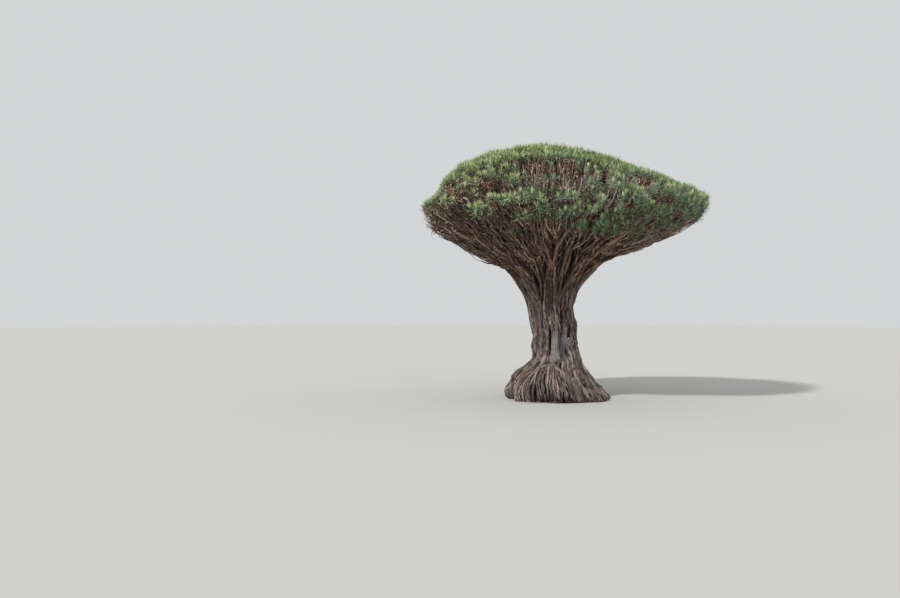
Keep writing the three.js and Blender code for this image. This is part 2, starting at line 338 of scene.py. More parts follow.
items = []
for n in range(19):                                   # fused columns
    at = n * 2 * np.pi / 19 + rng.uniform(-0.14, 0.14)
    items.append(strand(rng, at, rng.uniform(0.13, 0.25), rng.uniform(0.12, 0.23), -1, 8, drift=rng.uniform(-0.06, 0.06), sway=0.08))
for n in range(40):                                   # roots over the foot
    at = n * 2 * np.pi / 40 + rng.uniform(-0.07, 0.07)
    items.append(strand(rng, at, rng.uniform(0.13, 0.24), rng.uniform(0.1, 0.2), -1, rng.uniform(0.4, 2.4), fade=1.2,
                        drift=rng.uniform(-0.09, 0.09), sway=0.03, mid=1.5))
broad, broad_tone = strands(theta, level, mean_r, items)
items = []
for n in range(120):                                  # slimmer ones between them
    at = rng.uniform(0, 2 * np.pi)
    foot = -1 if rng.uniform() < 0.6 else rng.uniform(0.3, 3.4)
    items.append(strand(rng, at, rng.uniform(0.055, 0.1), rng.uniform(0.035, 0.07), foot, rng.uniform(3.2, 8.5), drift=rng.uniform(-0.07, 0.07), sway=0.06))
for n in range(120):
    items.append(strand(rng, rng.uniform(0, 2 * np.pi), rng.uniform(0.09, 0.14), rng.uniform(0.04, 0.08), -1, rng.uniform(0.2, 2.9), fade=0.5,
                        drift=rng.uniform(-0.09, 0.09), sway=0.025, mid=1.5))
ropes, rope_tone = strands(theta, level, mean_r, items)
CURTAIN = math.radians(262)

X = mean_r[:, None] * np.cos(theta)[None]              # rough place of each point, for the placed features
side_x = base * np.cos(theta)[None] + trunk_x(level)[:, None]
front = smooth(0.15, 0.5, -np.sin(theta))[None]
zz = level[:, None]


def spot(x, z, w, h, sharp=2.0):
    return front * np.exp(-(((side_x - x) / w) ** 2 + ((zz - z) / h) ** 2) ** (sharp / 2))


# a smooth pale face on the front, narrow at its top, with a cleft on its left that is painted dark as shade, and a knot
# on its right; between the face and the knot a shallow recess is painted blue-grey and darker as shade
patch_mid = -0.15 + 0.10 * smooth(4.4, 3.0, zz) + 0.02 * np.sin(zz * 3.1)
patch_half = 0.2 + 0.27 * smooth(4.6, 2.7, zz) + 0.02 * np.sin(zz * 5.3 + 1)
patch = front * smooth(1.15, 0.85, np.abs(side_x - patch_mid) / patch_half) * smooth(0.0, 0.35, zz - 2.4 - 0.14 * np.sin(side_x * 8 + 1) - 0.09 * np.sin(side_x * 21)) * smooth(4.75, 4.45, zz + 0.08 * np.sin(side_x * 17))
# the recess whose colour is painted blue-grey shade
shade = spot(0.46, 3.45, 0.35, 0.9, 6)
# the smooth face together with the shaded recess: the relief is quieted over both
face_and_shade_area = np.clip(patch + shade, 0, 1)
cleft = spot(-0.50 + 0 * zz, 4.1, 0.085, 0.8, 4) + 0.8 * spot(0.74, 3.15, 0.05, 0.45, 4)
slots = spot(-0.70, 7.0, 0.11, 0.75, 4) + spot(0.40, 5.85, 0.13, 1.0, 4) + 0.7 * spot(-0.2, 5.35, 0.07, 0.5, 4) + 0.6 * spot(-1.02, 5.2, 0.06, 0.5, 4)
knot = spot(0.97, 3.84, 0.17, 0.3, 6)
holes = spot(0.88, 4.02, 0.06, 0.05, 4) + spot(1.02, 3.84, 0.05, 0.06, 4) + 0.8 * spot(0.90, 3.66, 0.05, 0.06, 4)
# more of the same round the other sides, at seeded places
clefts = np.zeros_like(base)
for n in range(16):
    a, z = rng.uniform(0, 2 * np.pi), rng.uniform(2.6, 6.6)
    if abs(wrap(a - 1.5 * np.pi)) < 0.6:
        continue
    d = wrap(theta[None] - a - 0.05 * (zz - z)) * mean_r[:, None]
    clefts += np.exp(-(((d / rng.uniform(0.05, 0.1)) ** 2 + ((zz - z) / rng.uniform(0.3, 0.8)) ** 2) ** 2))
lip = front * np.exp(-((wrap(theta[None] - CURTAIN) / 0.5) ** 4)) * np.exp(-(((zz - (2.56 - 0.95 * np.abs(wrap(theta[None] - CURTAIN) / 0.5) ** 2.7)) / 0.11) ** 2))

points = np.stack([side_x, base * np.sin(theta)[None], np.broadcast_to(zz, base.shape)], -1)
rough = (ripple(points * (1, 1, 0.45), 0.22, 5) * 0.012 + ripple(points, 0.09, 6) * 0.005 + ripple(points, 0.9, 7) * 0.035
         + (ripple(points, 0.62, 8) * 0.06 + ripple(points, 1.3, 9) * 0.09) * smooth(2.4, 0.6, zz))
quiet = 1 - 0.9 * face_and_shade_area
relief = broad * (1 - 0.75 * face_and_shade_area) + ropes * quiet + rough * (1 - 0.5 * patch) - 0.09 * shade
streaks = np.sin((side_x + 0.05 * np.sin(zz * 2.3)) * 46 + 1.3 * np.sin(zz * 1.7)) + 0.7 * ripple(points * (1, 1, 0.16), 0.11, 12)
relief += 0.013 * streaks * face_and_shade_area
relief += 0.09 * patch * np.sqrt(np.clip(1 - ((side_x - patch_mid) / (patch_half * 1.2)) ** 2, 0, 1))
arch = 2.36 - 0.95 * np.abs(wrap(theta[None] - CURTAIN) / 0.5) ** 2.7
behind = np.exp(-((wrap(theta[None] - CURTAIN) / 0.45) ** 6)) * smooth(arch - 0.12, arch - 0.4, zz) * smooth(-0.1, 0.25, zz)
relief -= 0.19 * behind
valleys = np.zeros_like(base)
for deg, deep in ((230, 0.34), (281, 0.3), (318, 0.2), (352, 0.26), (28, 0.3), (66, 0.22), (101, 0.32), (139, 0.26), (171, 0.3), (203, 0.2)):
    d = wrap(theta[None] - math.radians(deg) - 0.05 * np.sin(zz * 1.9 + deg)) * mean_r[:, None]
    valleys = np.maximum(valleys, deep * np.exp(-np.abs(d / 0.15) ** 1.6) * smooth(2.7, 1.5, zz))
relief -= valleys
for deg, at, deep, wide in ((188, 2.45, 0.38, 0.42), (222, 2.3, 0.12, 0.25), (300, 2.2, 0.1, 0.3), (338, 2.5, 0.16, 0.3), (10, 2.1, 0.24, 0.35), (47, 2.6, 0.18, 0.3),
                            (84, 2.3, 0.28, 0.35), (120, 2.0, 0.2, 0.3), (154, 2.7, 0.2, 0.3)):      # the mounds of the foot stand apart under the waist
    relief -= deep * np.exp(-((zz - at) / 0.5) ** 2 - (wrap(theta[None] - math.radians(deg)) / wide) ** 2)
relief -= 0.26 * cleft + 0.5 * slots + 0.22 * clefts + 0.09 * lip + 0.2 * holes
relief = relief * (1 - knot) + knot * (0.23 - 0.2 * holes + 0.04 * ripple(points, 0.16, 14))
skin_r = base + relief - 0.27 + 0.06 * smooth(1.5, 0.4, zz)
edge = smooth(0.0, 1.0, (level - 6.9) / 0.42)[:, None]
skin_r = skin_r * (1 - 0.97 * edge ** 1.5)
# painted shade: the colour value worked out below darkens the skin in its creases (relief under its blur), valleys,
# slots, clefts, holes and behind the curtain; where it falls below zero it lightens the ridges as painted highlight
blurred = relief.copy()
for _ in range(10):
    blurred = (np.roll(blurred, 2, 1) + np.roll(blurred, -2, 1) + blurred) / 3
    blurred[1:-1] = (blurred[:-2] + blurred[1:-1] + blurred[2:]) / 3
hollow = np.clip((blurred - relief) / 0.045, -1, 1.6)
hollow = np.maximum(np.maximum(hollow, np.maximum(1.1 * behind, 3.5 * valleys)), 1.5 * np.clip(cleft + slots + clefts + holes * 1.3, 0, 1))
# a little darker above the foot
hollow = hollow + 0.16 * smooth(2.2, 3.6, zz)
# on the smooth face and the recess beside it the value follows the streaks and a noise, and the recess is darkened
# further as painted shade
calm = np.clip(face_and_shade_area - cleft, 0, 1)
hollow = hollow * (1 - calm) + calm * (0.12 - 0.22 * streaks + 0.34 * shade + 0.25 * ripple(points * (1, 1, 0.4), 0.3, 13))
tone = np.where(ropes > 0.004, rope_tone, 0.5) * 0.7 + 0.3 * broad_tone

skin_r = np.maximum(skin_r, 0.02)
verts = np.stack([trunk_x(np.minimum(level, 7.0))[:, None] + skin_r * np.cos(theta)[None],
                  skin_r * np.sin(theta)[None], np.broadcast_to(zz, skin_r.shape)], -1).reshape(-1, 3)
quads = grid_quads(ROWS, COLS)
n = len(verts)
verts = np.concatenate([verts, [[trunk_x(0.0), 0, 0], [trunk_x(7.0), 0, level[-1]]]])
ring = np.arange(COLS)
tris = np.concatenate([np.stack([np.roll(ring, -1), ring, np.full(COLS, n)], -1),
                       np.stack([ring + (ROWS - 1) * COLS, np.roll(ring, -1) + (ROWS - 1) * COLS, np.full(COLS, n + 1)], -1)])
pad = lambda a: np.concatenate([a.ravel(), [0, 0]])
# pale carries the smooth face's grey and, in the recess beside it, painted shade; blue carries the painted blue-grey
# shade of that recess
trunk_parts = dict(verts=verts, quads=quads, tris=tris,
                   facts={"hollow": pad(hollow), "tone": pad(tone), "pale": pad(np.clip(patch + 0.85 * shade, 0, 1) * (1 - knot) * np.ones_like(base)), "blue": pad(shade * (1 - 0.6 * patch) * np.ones_like(base))})


def trunk_skin(a, z):
    """Distance of the finished skin from the trunk's axis."""
    ci = (np.asarray(a) % (2 * np.pi)) / (2 * np.pi) * COLS
    c0 = np.floor(ci).astype(int) % COLS
    ri = np.interp(z, level, np.arange(ROWS))
    r0 = np.clip(np.floor(ri).astype(int), 0, ROWS - 2)
    fc, fr = ci - np.floor(ci), ri - r0
    c1 = (c0 + 1) % COLS
    return ((skin_r[r0, c0] * (1 - fc) + skin_r[r0, c1] * fc) * (1 - fr)
            + (skin_r[r0 + 1, c0] * (1 - fc) + skin_r[r0 + 1, c1] * fc) * fr)


# ---- boughs, with strands that run on from the trunk
def limb(pile, points, radii, cols, seed, depth=1.0, warm=0.5):
    rng = np.random.default_rng(seed)
    n = len(points)
    step = np.linalg.norm(np.diff(points, axis=0), axis=1)
    run = np.concatenate([[0], np.cumsum(step)])
    bend = np.stack([ripple(np.stack([run, run * 0, run * 0], -1), 1.6, seed + q) for q in (1, 2, 3)], -1)
    points = points + bend * radii[:, None] * 0.16 * smooth(0, 1.2, run)[:, None]
    ahead, across, up = frames(points)
    th = np.arange(cols) * 2 * np.pi / cols
    items = []
    for _ in range(int(3 + 16 * radii[0])):
        items.append(strand(rng, rng.uniform(0, 6.28), rng.uniform(0.2, 0.42) * radii[0], rng.uniform(0.16, 0.34) * radii[0] * depth, -1, 99,
                            drift=rng.uniform(-0.35, 0.35), sway=0.3, mid=1.0))
    for _ in range(int(8 + 60 * radii[0])):
        foot = rng.uniform(-2, run[-1])
        items.append(strand(rng, rng.uniform(0, 6.28), rng.uniform(0.06, 0.16) * radii[0], rng.uniform(0.05, 0.13) * radii[0] * depth, foot,
                            foot + rng.uniform(0.8, 4), drift=rng.uniform(-0.4, 0.4), sway=0.25, mid=foot))
    high, tone = strands(th, run, radii, items)
    knobs = ripple(np.stack([run[:, None] + 0 * th[None], np.cos(th)[None] + 0 * run[:, None], np.sin(th)[None] + 0 * run[:, None]], -1), 0.5, seed + 9)
    r = radii[:, None] * (0.84 + 0.05 * knobs) + high
    v = points[:, None] + (np.cos(th)[None, :, None] * across[:, None] + np.sin(th)[None, :, None] * up[:, None]) * r[..., None]
    v = v.reshape(-1, 3)
    q = grid_quads(n, cols)
    cap = points[-1] + ahead[-1] * radii[-1] * 0.6
    v = np.concatenate([v, [cap, points[0]]])
    ring = np.arange(cols)
    t = np.concatenate([np.stack([ring + (n - 1) * cols, np.roll(ring, -1) + (n - 1) * cols, np.full(cols, n * cols)], -1),
                        np.stack([np.roll(ring, -1), ring, np.full(cols, n * cols + 1)], -1)])
    # painted shade between a bough's strands and painted highlight on their crowns
    low = high - (np.roll(high, 2, 1) + np.roll(high, -2, 1) + high) / 3
    groove_shade = np.clip(0.25 - low / (0.05 * radii[0] + 0.004), -0.6, 1.2)
    tail = lambda a: np.concatenate([a.ravel(), [0.5, 0.5]])
    pile.add(v, q, t, hollow=tail(groove_shade), tone=tail(tone * 0.7 + 0.3 * rng.uniform()), pale=0.0)


def outer_skin_point(k, side, t):
    """The bough's own path, drawn in towards the column where it leaves it."""
    p = outer_point(k, side, t)
    out = unit(np.stack([p[:, 0] - trunk_x(6.5), p[:, 1], 0 * t], -1))
    return p - out * 0.3 * smooth(0.06, 0.0, t)[:, None]


boughs, limbs = Pile(), Pile()
mains = []                                             # carriers: point, direction, radius, share
for k in range(OUTER):
    t = np.linspace(0, FORK_AT + 0.015, 66)
    p = outer_skin_point(k, 0, t)
    rr = np.interp(t, [0, 0.05, 0.42, FORK_AT + 0.015], [0.3, 0.44, 0.33, 0.14])
    limb(boughs, p, rr, 40, 1000 + k)
    d = unit(np.gradient(p, axis=0))
    for at in (0.12, 0.18, 0.24, 0.3, 0.36, 0.42, 0.48):
        i = int(np.argmin(abs(t - at)))
        mains.append((p[i], d[i], rr[i], 0))
    for side in (-1, 1):
        t2 = np.linspace(FORK_AT - 0.14, 1, 50)
        p2 = outer_point(k, side, t2)
        r2 = np.interp(t2, [FORK_AT - 0.14, FORK_AT - 0.03, 1], [0.2, 0.245, 0.105])
        limb(limbs, p2, r2, 18, 1100 + 2 * k + side)
        d2 = unit(np.gradient(p2, axis=0))
        for at in (0.6, 0.7, 0.8, 0.9, 1.0):
            i = int(np.argmin(abs(t2 - at)))
            mains.append((p2[i], d2[i], r2[i], int(at == 1.0)))
for k in range(INNER):
    t = np.linspace(0, 1, 72)
    p = inner_point(k, t)
    rr = np.interp(t, [0, 1], [0.37, 0.15])
    limb(boughs, p, rr, 26, 1200 + k)
    d = unit(np.gradient(p, axis=0))
    for at in (0.16, 0.28, 0.4, 0.52, 0.64, 0.76, 0.88, 1.0):
        i = int(np.argmin(abs(t - at)))
        mains.append((p[i], d[i], rr[i], int(at == 1.0)))
for k in range(8):
    t = np.linspace(0, 1, 60)
    p = between_point(k, t)
    rr = np.interp(t, [0, 1], [0.28, 0.1])
    limb(limbs, p, rr, 20, 1300 + k)
    d = unit(np.gradient(p, axis=0))
    for at in (0.16, 0.28, 0.4, 0.52, 0.64, 0.76, 0.88, 1.0):
        i = int(np.argmin(abs(t - at)))
        mains.append((p[i], d[i], rr[i], int(at == 1.0)))
for k in range(9):
    t = np.linspace(0, 1, 60)
    p = middle_point(k, t)
    rr = np.interp(t, [0, 1], [0.27, 0.09])
    limb(limbs, p, rr, 18, 1400 + k)
    d = unit(np.gradient(p, axis=0))
    for at in (0.16, 0.28, 0.4, 0.52, 0.64, 0.76, 0.88, 1.0):
        i = int(np.argmin(abs(t - at)))
        mains.append((p[i], d[i], rr[i], int(at == 1.0)))

# ---- ropes of aerial root: real round strands that lie on the trunk, fan over the foot and hang from the boughs
rng = np.random.default_rng(21)


def tube(pile, points, radii, cols, **facts):
    ahead, across, up = frames(points)
    th = np.arange(cols) * 2 * np.pi / cols
    v = points[:, None] + (np.cos(th)[None, :, None] * across[:, None] + np.sin(th)[None, :, None] * up[:, None]) * radii[:, None, None]
    n = len(points)
    v = np.concatenate([v.reshape(-1, 3), [points[0] - ahead[0] * radii[0] * 0.7, points[-1] + ahead[-1] * radii[-1] * 0.7]])
    v[:, 2] = np.maximum(v[:, 2], 0.0)
    ring = np.arange(cols)
    t = np.concatenate([np.stack([np.roll(ring, -1), ring, np.full(cols, n * cols)], -1),
                        np.stack([ring + (n - 1) * cols, np.roll(ring, -1) + (n - 1) * cols, np.full(cols, n * cols + 1)], -1)])
    facts = {k: np.concatenate([np.repeat(f, cols), [f[0], f[-1]]]) if np.ndim(f) else f for k, f in facts.items()}
    pile.add(v, grid_quads(n, cols), t, **facts)


def open_run(a, z):
    """The longest stretch of a rope that keeps off the smooth face, the dark slots and the mouth of the curtain."""
    x = trunk_x(z) + np.cos(a) * trunk_radius(a, z)
    half = 0.2 + 0.27 * smooth(4.6, 2.7, z)
    off = wrap(a - CURTAIN)
    shut = (np.sin(a) < -0.3) & (((np.abs(x + 0.15 - 0.10 * smooth(4.4, 3.0, z)) < half) & (z > 2.5) & (z < 4.6)) | ((x > -0.1) & (x < 0.73) & (z > 2.75) & (z < 4.25))
                                 | ((np.abs(x + 0.70) < 0.13) & (z > 6.3)) | ((np.abs(x - 0.40) < 0.14) & (z > 4.9) & (z < 6.8))
                                 | ((np.abs(x + 0.50) < 0.09) & (z > 3.3) & (z < 4.9)) | ((np.abs(x - 0.95) < 0.2) & (np.abs(z - 3.84) < 0.36))
                                 | ((np.abs(off) < 0.5) & (z < 2.55 - 0.95 * np.abs(off / 0.5) ** 2.7)))
    best, start = (0, 0), 0
    for i in range(len(z) + 1):
        if i == len(z) or shut[i]:
            if i - start > best[1] - best[0]:
                best = (start, i)
            start = i + 1
    return best


def lying(a, z, thick, sink):
    r = trunk_skin(a, z)
    for _ in range(4):
        r[1:-1] = np.maximum(r[1:-1], (r[:-2] + r[2:]) / 2)
    return r + thick * sink


def lay(pile, a, z, thick, sink, rng, cols=6, toe=0.0, bright=None):
    i, j = open_run(a, z)
    if j - i < 6:
        return
    reaches = j == len(z) and z[-1] < 0.2
    a, z = a[i:j], z[i:j]
    r = lying(a, z, thick, sink)
    m = len(z)
    if reaches:
        r = r + toe * smooth(0.75, 0.0, z) ** 2 * (1 - 0.8 * smooth(0.3, 0.9, np.cos(a - math.radians(188))) - 0.5 * smooth(0.3, 0.9, np.cos(a)))
    path = np.stack([trunk_x(z) + r * np.cos(a), r * np.sin(a), z], -1)
    path = path + rng.normal(size=path.shape) * 0.011
    lumpy = 1 + 0.2 * np.sin(np.arange(m) * rng.uniform(0.5, 1.3) + rng.uniform(0, 6)) + 0.12 * rng.normal(size=m)
    ends = np.interp(np.arange(m), [0, min(5, m // 3), m - min(5, m // 3) - 1, m - 1], [0.3, 1, 1, 0.62 if reaches else 0.25])
    run = np.arange(m) * rng.uniform(0.25, 0.8) + rng.uniform(0, 6)
    dim = 0.16 * smooth(2.2, 3.6, z) + rng.uniform(-0.75, 0.6) + 0.45 * np.sin(run) + 0.3 * np.sin(run * 2.7) + 0.15 * rng.normal(size=m)
    tube(pile, path, thick * np.clip(lumpy, 0.45, 1.6) * ends, cols, hollow=np.clip(dim, -1, 1.0), tone=(rng.uniform(0, 1) if bright is None else bright) + 0.12 * np.sin(run * 1.4), pale=0.0)


ropes_high, ropes_low = Pile(), Pile()
for n in range(118):                                  # down the column
    rng = np.random.default_rng((21, n))
    z_top = rng.uniform(6.6, 7.05) if rng.uniform() < 0.4 else rng.uniform(3.4, 6.6)
    z_low = 0.06 if rng.uniform() < 0.5 else rng.uniform(0.5, min(3.8, z_top - 1.2))
    z = np.arange(z_top, z_low, -0.135)
    thick = rng.uniform(0.032, 0.085)
    R = np.maximum(np.interp(z, level, mean_r), 1.2)
    a = (2 * np.pi * n / 118 + rng.uniform(-0.05, 0.05) + rng.uniform(-0.045, 0.045) * (z - 4)
         + 0.16 * rng.uniform(0.3, 1) / R * np.sin(z * rng.uniform(1.1, 2.2) + rng.uniform(0, 6))
         + 0.03 * rng.uniform(0.3, 1) / R * np.sin(z * rng.uniform(3.5, 7) + rng.uniform(0, 6)))
    lay(ropes_high, a, z, thick * (1 + 0.35 * smooth(2.5, 0.5, z)).mean(), rng.uniform(-0.3, 0.45), rng, toe=rng.uniform(0, 0.15))
VALLEYS = (203, 230, 281, 318, 352, 388, 426, 461, 499, 531, 563)
for lobe in range(10):                                # each root mass has its own fan
    lo, hi = math.radians(VALLEYS[lobe]), math.radians(VALLEYS[lobe + 1])
    mid, wide = (lo + hi) / 2, hi - lo
    rng = np.random.default_rng((22, lobe))
    slant, long = rng.uniform(-0.16, 0.16), rng.uniform(0.0, 0.16)
    for n in range(int(wide / 0.031)):
        rng = np.random.default_rng((23, lobe, n))
        z_top = rng.uniform(1.0, 3.3)
        z = np.arange(z_top, 0.05, -0.11)
        u = rng.uniform(-0.5, 0.5)
        R = np.maximum(np.interp(z, level, mean_r), 1.2)
        open_out = smooth(3.2, 0.3, z)
        a = (mid + slant * (0.5 - open_out) + u * wide * (0.5 + 0.5 * open_out) + rng.uniform(-0.05, 0.05) * (z - 1.2)
             + 0.12 * rng.uniform(0.2, 1) / R * np.sin(z * rng.uniform(1.4, 3) + rng.uniform(0, 6))
             + 0.045 * rng.uniform(0.3, 1) / R * np.sin(z * rng.uniform(4, 8) + rng.uniform(0, 6)))
        lay(ropes_low, a, z, rng.choice([0.035, 0.05, 0.075, 0.105]) * rng.uniform(0.85, 1.2), rng.uniform(-0.5, 0.35), rng, toe=long + rng.uniform(0, 0.16))
    for n in range(3):                                # a few long thick roots that run on along the ground
        rng = np.random.default_rng((24, lobe, n))
        z = np.arange(rng.uniform(1.6, 3.6), 0.05, -0.12)
        a = mid + rng.uniform(-0.4, 0.4) * wide + slant * (1 - z / 2.5) + 0.05 * np.sin(z * 1.7 + n)
        lay(ropes_low, a, z, rng.uniform(0.11, 0.17), rng.uniform(-0.1, 0.25), rng, cols=8, toe=rng.uniform(0.15, 0.42))
for n in range(40):                                   # strands that cross the others aslant
    rng = np.random.default_rng((25, n))
    z = np.arange(rng.uniform(1.4, 3.4), 0.05, -0.11)
    a = rng.uniform(0, 2 * np.pi) + rng.choice([-1, 1]) * rng.uniform(0.08, 0.24) * (z - 1.5)
    lay(ropes_low, a, z, rng.uniform(0.035, 0.07), rng.uniform(0.3, 0.8), rng, toe=rng.uniform(0, 0.16))

for n in range(12):                                   # proud strands down the front right of the foot, with gaps between them
    rng = np.random.default_rng((28, n))
    z = np.arange(rng.uniform(2.0, 3.5), 0.05 if n % 3 else 0.5, -0.11)
    a = math.radians(291 + 27 * ((n + rng.uniform(-0.3, 0.3)) / 11)) + rng.uniform(-0.04, 0.04) * (z - 1.5) + 0.022 * np.sin(z * rng.uniform(2.5, 4.5) + n)
    lay(ropes_low, a, z, rng.uniform(0.045, 0.085), rng.uniform(0.75, 1.15), rng, cols=7, toe=rng.uniform(0.05, 0.25), bright=rng.uniform(0.5, 1.0))

for n in range(10):                                   # roots that stand off the left flank of the foot
    rng = np.random.default_rng((30, n))
    z = np.arange(rng.uniform(1.3, 2.5), 0.05, -0.11)
    a = math.radians(166 + 56 * ((n + rng.uniform(-0.3, 0.3)) / 9)) + rng.uniform(-0.05, 0.05) * (z - 1) + 0.02 * np.sin(z * rng.uniform(2.5, 4.5) + n)
    lay(ropes_low, a, z, rng.uniform(0.05, 0.095), rng.uniform(0.5, 1.0), rng, cols=7, toe=rng.uniform(0, 0.3), bright=rng.uniform(0.2, 0.9))

for n in range(8):                                    # long light columns from the knot down to the ground
    rng = np.random.default_rng((29, n))
    z = np.arange(rng.uniform(3.3, 4.5), 0.05 if n % 2 else rng.uniform(0.3, 1.0), -0.11)
    a = math.radians(284 + 25 * ((n + rng.uniform(-0.3, 0.3)) / 7)) + rng.uniform(-0.02, 0.02) * (z - 2) + 0.016 * np.sin(z * rng.uniform(1.5, 3.0) + n)
    lay(ropes_low, a, z, rng.uniform(0.065, 0.11), rng.uniform(0.6, 1.0), rng, cols=7, toe=rng.uniform(0.05, 0.2), bright=rng.uniform(0.65, 1.0))

# the rounded curtain on the front of the foot: an arched lip, and thick strands that hang from it
def arch_at(off):
    """Height of the curtain's rim: broad and nearly level in the middle, steep at its sides."""
    return 2.36 - 0.95 * np.abs(off / 0.5) ** 2.7


rng = np.random.default_rng(26)
for n in range(9):
    mid_off, span = -0.36 + 0.09 * n + rng.uniform(-0.04, 0.04), rng.uniform(0.1, 0.17)
    off = np.linspace(max(-0.5, mid_off - span), min(0.5, mid_off + span), 24)
    wob = 0.04 * np.sin(off * rng.uniform(12, 22) + n) + 0.02 * np.sin(off * 45 + 2 * n)
    z = arch_at(off) - rng.uniform(-0.06, 0.12) + wob
    a = CURTAIN + off
    r = trunk_radius(a, z) - rng.uniform(-0.06, 0.02) + 0.03 * np.sin(off * 26 + 2 * n)
    path = np.stack([trunk_x(z) + r * np.cos(a), r * np.sin(a), z], -1) + rng.normal(size=(24, 3)) * 0.008
    tube(ropes_low, path, np.interp(np.arange(24), [0, 5, 18, 23], [0.3, 1, 1, 0.3]) * rng.uniform(0.055, 0.085) * (1 + 0.25 * np.sin(off * 34 + n) + 0.1 * rng.normal(size=24)), 8,
         hollow=-0.55 + 0.45 * np.sin(off * 25 + n), tone=rng.uniform(0.55, 0.95), pale=0.0)
# each tier's strands are painted darker the further in they are set, as shade, and lighter at the front, as painted
# light
for tier_n, count_n, down, inset, depth_shade in ((0, 15, (0.7, 1.6), -0.03, -0.55), (1, 20, (0.05, 0.5), 0.04, -0.4), (2, 20, (0.04, 0.15), 0.17, 0.55)):
    for n in range(count_n):
        off = ((n + rng.uniform(-0.35, 0.35)) / (count_n - 1) - 0.5) * 0.9
        z_top = arch_at(off) + 0.04 - (0.0, 0.5, 0.2)[tier_n] * rng.uniform(0.6, 1.4)
        z_end = rng.uniform(*down)
        if z_top - z_end < 0.45:
            z_end = 0.05
        if z_top < 0.5:
            continue
        z = np.arange(z_top, z_end, -0.085)
        m = len(z)
        a = CURTAIN + off * (1 + 0.07 * (z_top - z)) + 0.014 * np.sin(z * rng.uniform(3, 7) + n) + rng.uniform(-0.03, 0.03) * (z_top - z)
        r = trunk_radius(a, z) - inset - 0.16 * np.exp(-np.arange(m) * 0.55) + rng.uniform(-0.03, 0.03) + 0.02 * np.sin(z * 6 + n)
        path = np.stack([trunk_x(z) + r * np.cos(a), r * np.sin(a), z], -1) + rng.normal(size=(m, 3)) * 0.009
        bulge = rng.uniform(0.045, 0.076) * (1 + 0.22 * np.sin(np.arange(m) * rng.uniform(0.5, 1.1) + n) + 0.1 * rng.normal(size=m))
        bulge = bulge * np.interp(np.arange(m), [0, 1, 3, m - 4, m - 1], [0.5, 0.9, 1.1, 0.95, 0.3])
        tube(ropes_low, path, bulge, 7, hollow=np.clip(depth_shade + 0.35 * np.sin(np.arange(m) * 0.6 + n) + 0.15 * rng.normal(size=m), -1, 1), tone=rng.uniform(0.15, 1.0), pale=0.0)
# the ring of a healed knot
for x0, z0, ring_r in ((0.88, 4.02, 0.085), (1.02, 3.83, 0.08), (0.9, 3.65, 0.08), (0.95, 3.85, 0.22)):
    g = np.linspace(0, 2 * np.pi, 15)
    xs, zs = x0 + ring_r * np.cos(g), z0 + ring_r * np.sin(g)
    a = 2 * np.pi - np.arccos(np.clip((xs - trunk_x(zs)) / 1.42, -1, 1))
    r = trunk_skin(a, zs) + 0.02
    r = np.maximum(r, r.mean())
    tube(ropes_high, np.stack([trunk_x(zs) + r * np.cos(a), r * np.sin(a), zs], -1), np.full(15, 0.034), 6, hollow=-0.5, tone=0.88, pale=0.2)

for n in range(112):                                  # from the undersides of the boughs down on to the column
    rng = np.random.default_rng((27, n))
    k = n % OUTER
    t = np.linspace(rng.uniform(0.14, 0.5), 0.06, 18)
    p = outer_skin_point(k, 0, t)
    out = unit(np.stack([p[:, 0] - trunk_x(6.5), p[:, 1], 0 * t], -1))
    across = np.cross(out, (0, 0, 1.0))
    turn_at, turn_by = rng.uniform(-1.35, 1.35), rng.uniform(-0.5, 0.5)
    beta = turn_at + turn_by * np.sin(t * 9 + n)
    thick = rng.uniform(0.03, 0.07)
    rr = np.interp(t, [0, FORK_AT], [0.47, 0.33]) + thick * 0.2
    tangent = unit(np.gradient(p, axis=0))
    below = unit(out * 0.75 + np.array([0, 0, -0.8]))
    below = unit(below - tangent * (below * tangent).sum(-1, keepdims=True))
    up_part = p + (below * np.cos(beta)[:, None] + across * np.sin(beta)[:, None]) * rr[:, None]
    z = np.arange(min(up_part[-1, 2], 6.4) - 0.25, rng.uniform(0.2, 4.8), -0.15)
    a0 = math.atan2(up_part[-1, 1], up_part[-1, 0] - trunk_x(6.3))
    a = (a0 + rng.uniform(-0.05, 0.05) * (6.3 - z) + 0.06 * np.sin(z * rng.uniform(1.2, 2.5) + n) * smooth(6.3, 5.3, z))
    i, j = open_run(a, z)
    if i > 2:
        j = 0
    a, z = a[:j], z[:j]
    low_part = np.zeros((0, 3))
    if len(z) > 3:
        r = lying(a, z, thick, 0.3)
        low_part = np.stack([trunk_x(z) + r * np.cos(a), r * np.sin(a), z], -1)
    path = np.concatenate([up_part, low_part])
    for _ in range(3):
        path[1:-1] = (path[:-2] + path[1:-1] * 2 + path[2:]) / 4
    m = len(path)
    taper = thick * (0.85 + 0.15 * np.sin(np.linspace(0.2, 12, m) + n)) * np.interp(np.arange(m), [0, 3, m - 5, m - 1], [0.3, 1, 1, 0.25])
    tube(ropes_high, path, taper, 6, hollow=rng.uniform(-0.4, 0.1), tone=rng.uniform(0, 1), pale=0.0)

# ------------------------------------------------------------------ where the rosettes are
rng = np.random.default_rng(31)


def thin_out(points, gap, limit=None):
    """Keeps points, in their order, that are no nearer than their gap to one kept before."""
    kept, cells = [], {}
    size = float(np.max(gap))
    gap = np.broadcast_to(gap, len(points))
    for i, p in enumerate(points):
        c = (int(p[0] // size), int(p[1] // size), int(p[2] // size))
        near = False
        for dx in (-1, 0, 1):
            for dy in (-1, 0, 1):
                for dz in (-1, 0, 1):
                    for q in cells.get((c[0] + dx, c[1] + dy, c[2] + dz), ()):
                        if (p[0] - q[0]) ** 2 + (p[1] - q[1]) ** 2 + (p[2] - q[2]) ** 2 < gap[i] ** 2:
                            near = True
                            break
                    if near:
                        break
                if near:
                    break
            if near:
                break
        if not near:
            cells.setdefault(c, []).append(p)
            kept.append(i)
            if limit and len(kept) >= limit:
                break
    return np.array(kept)


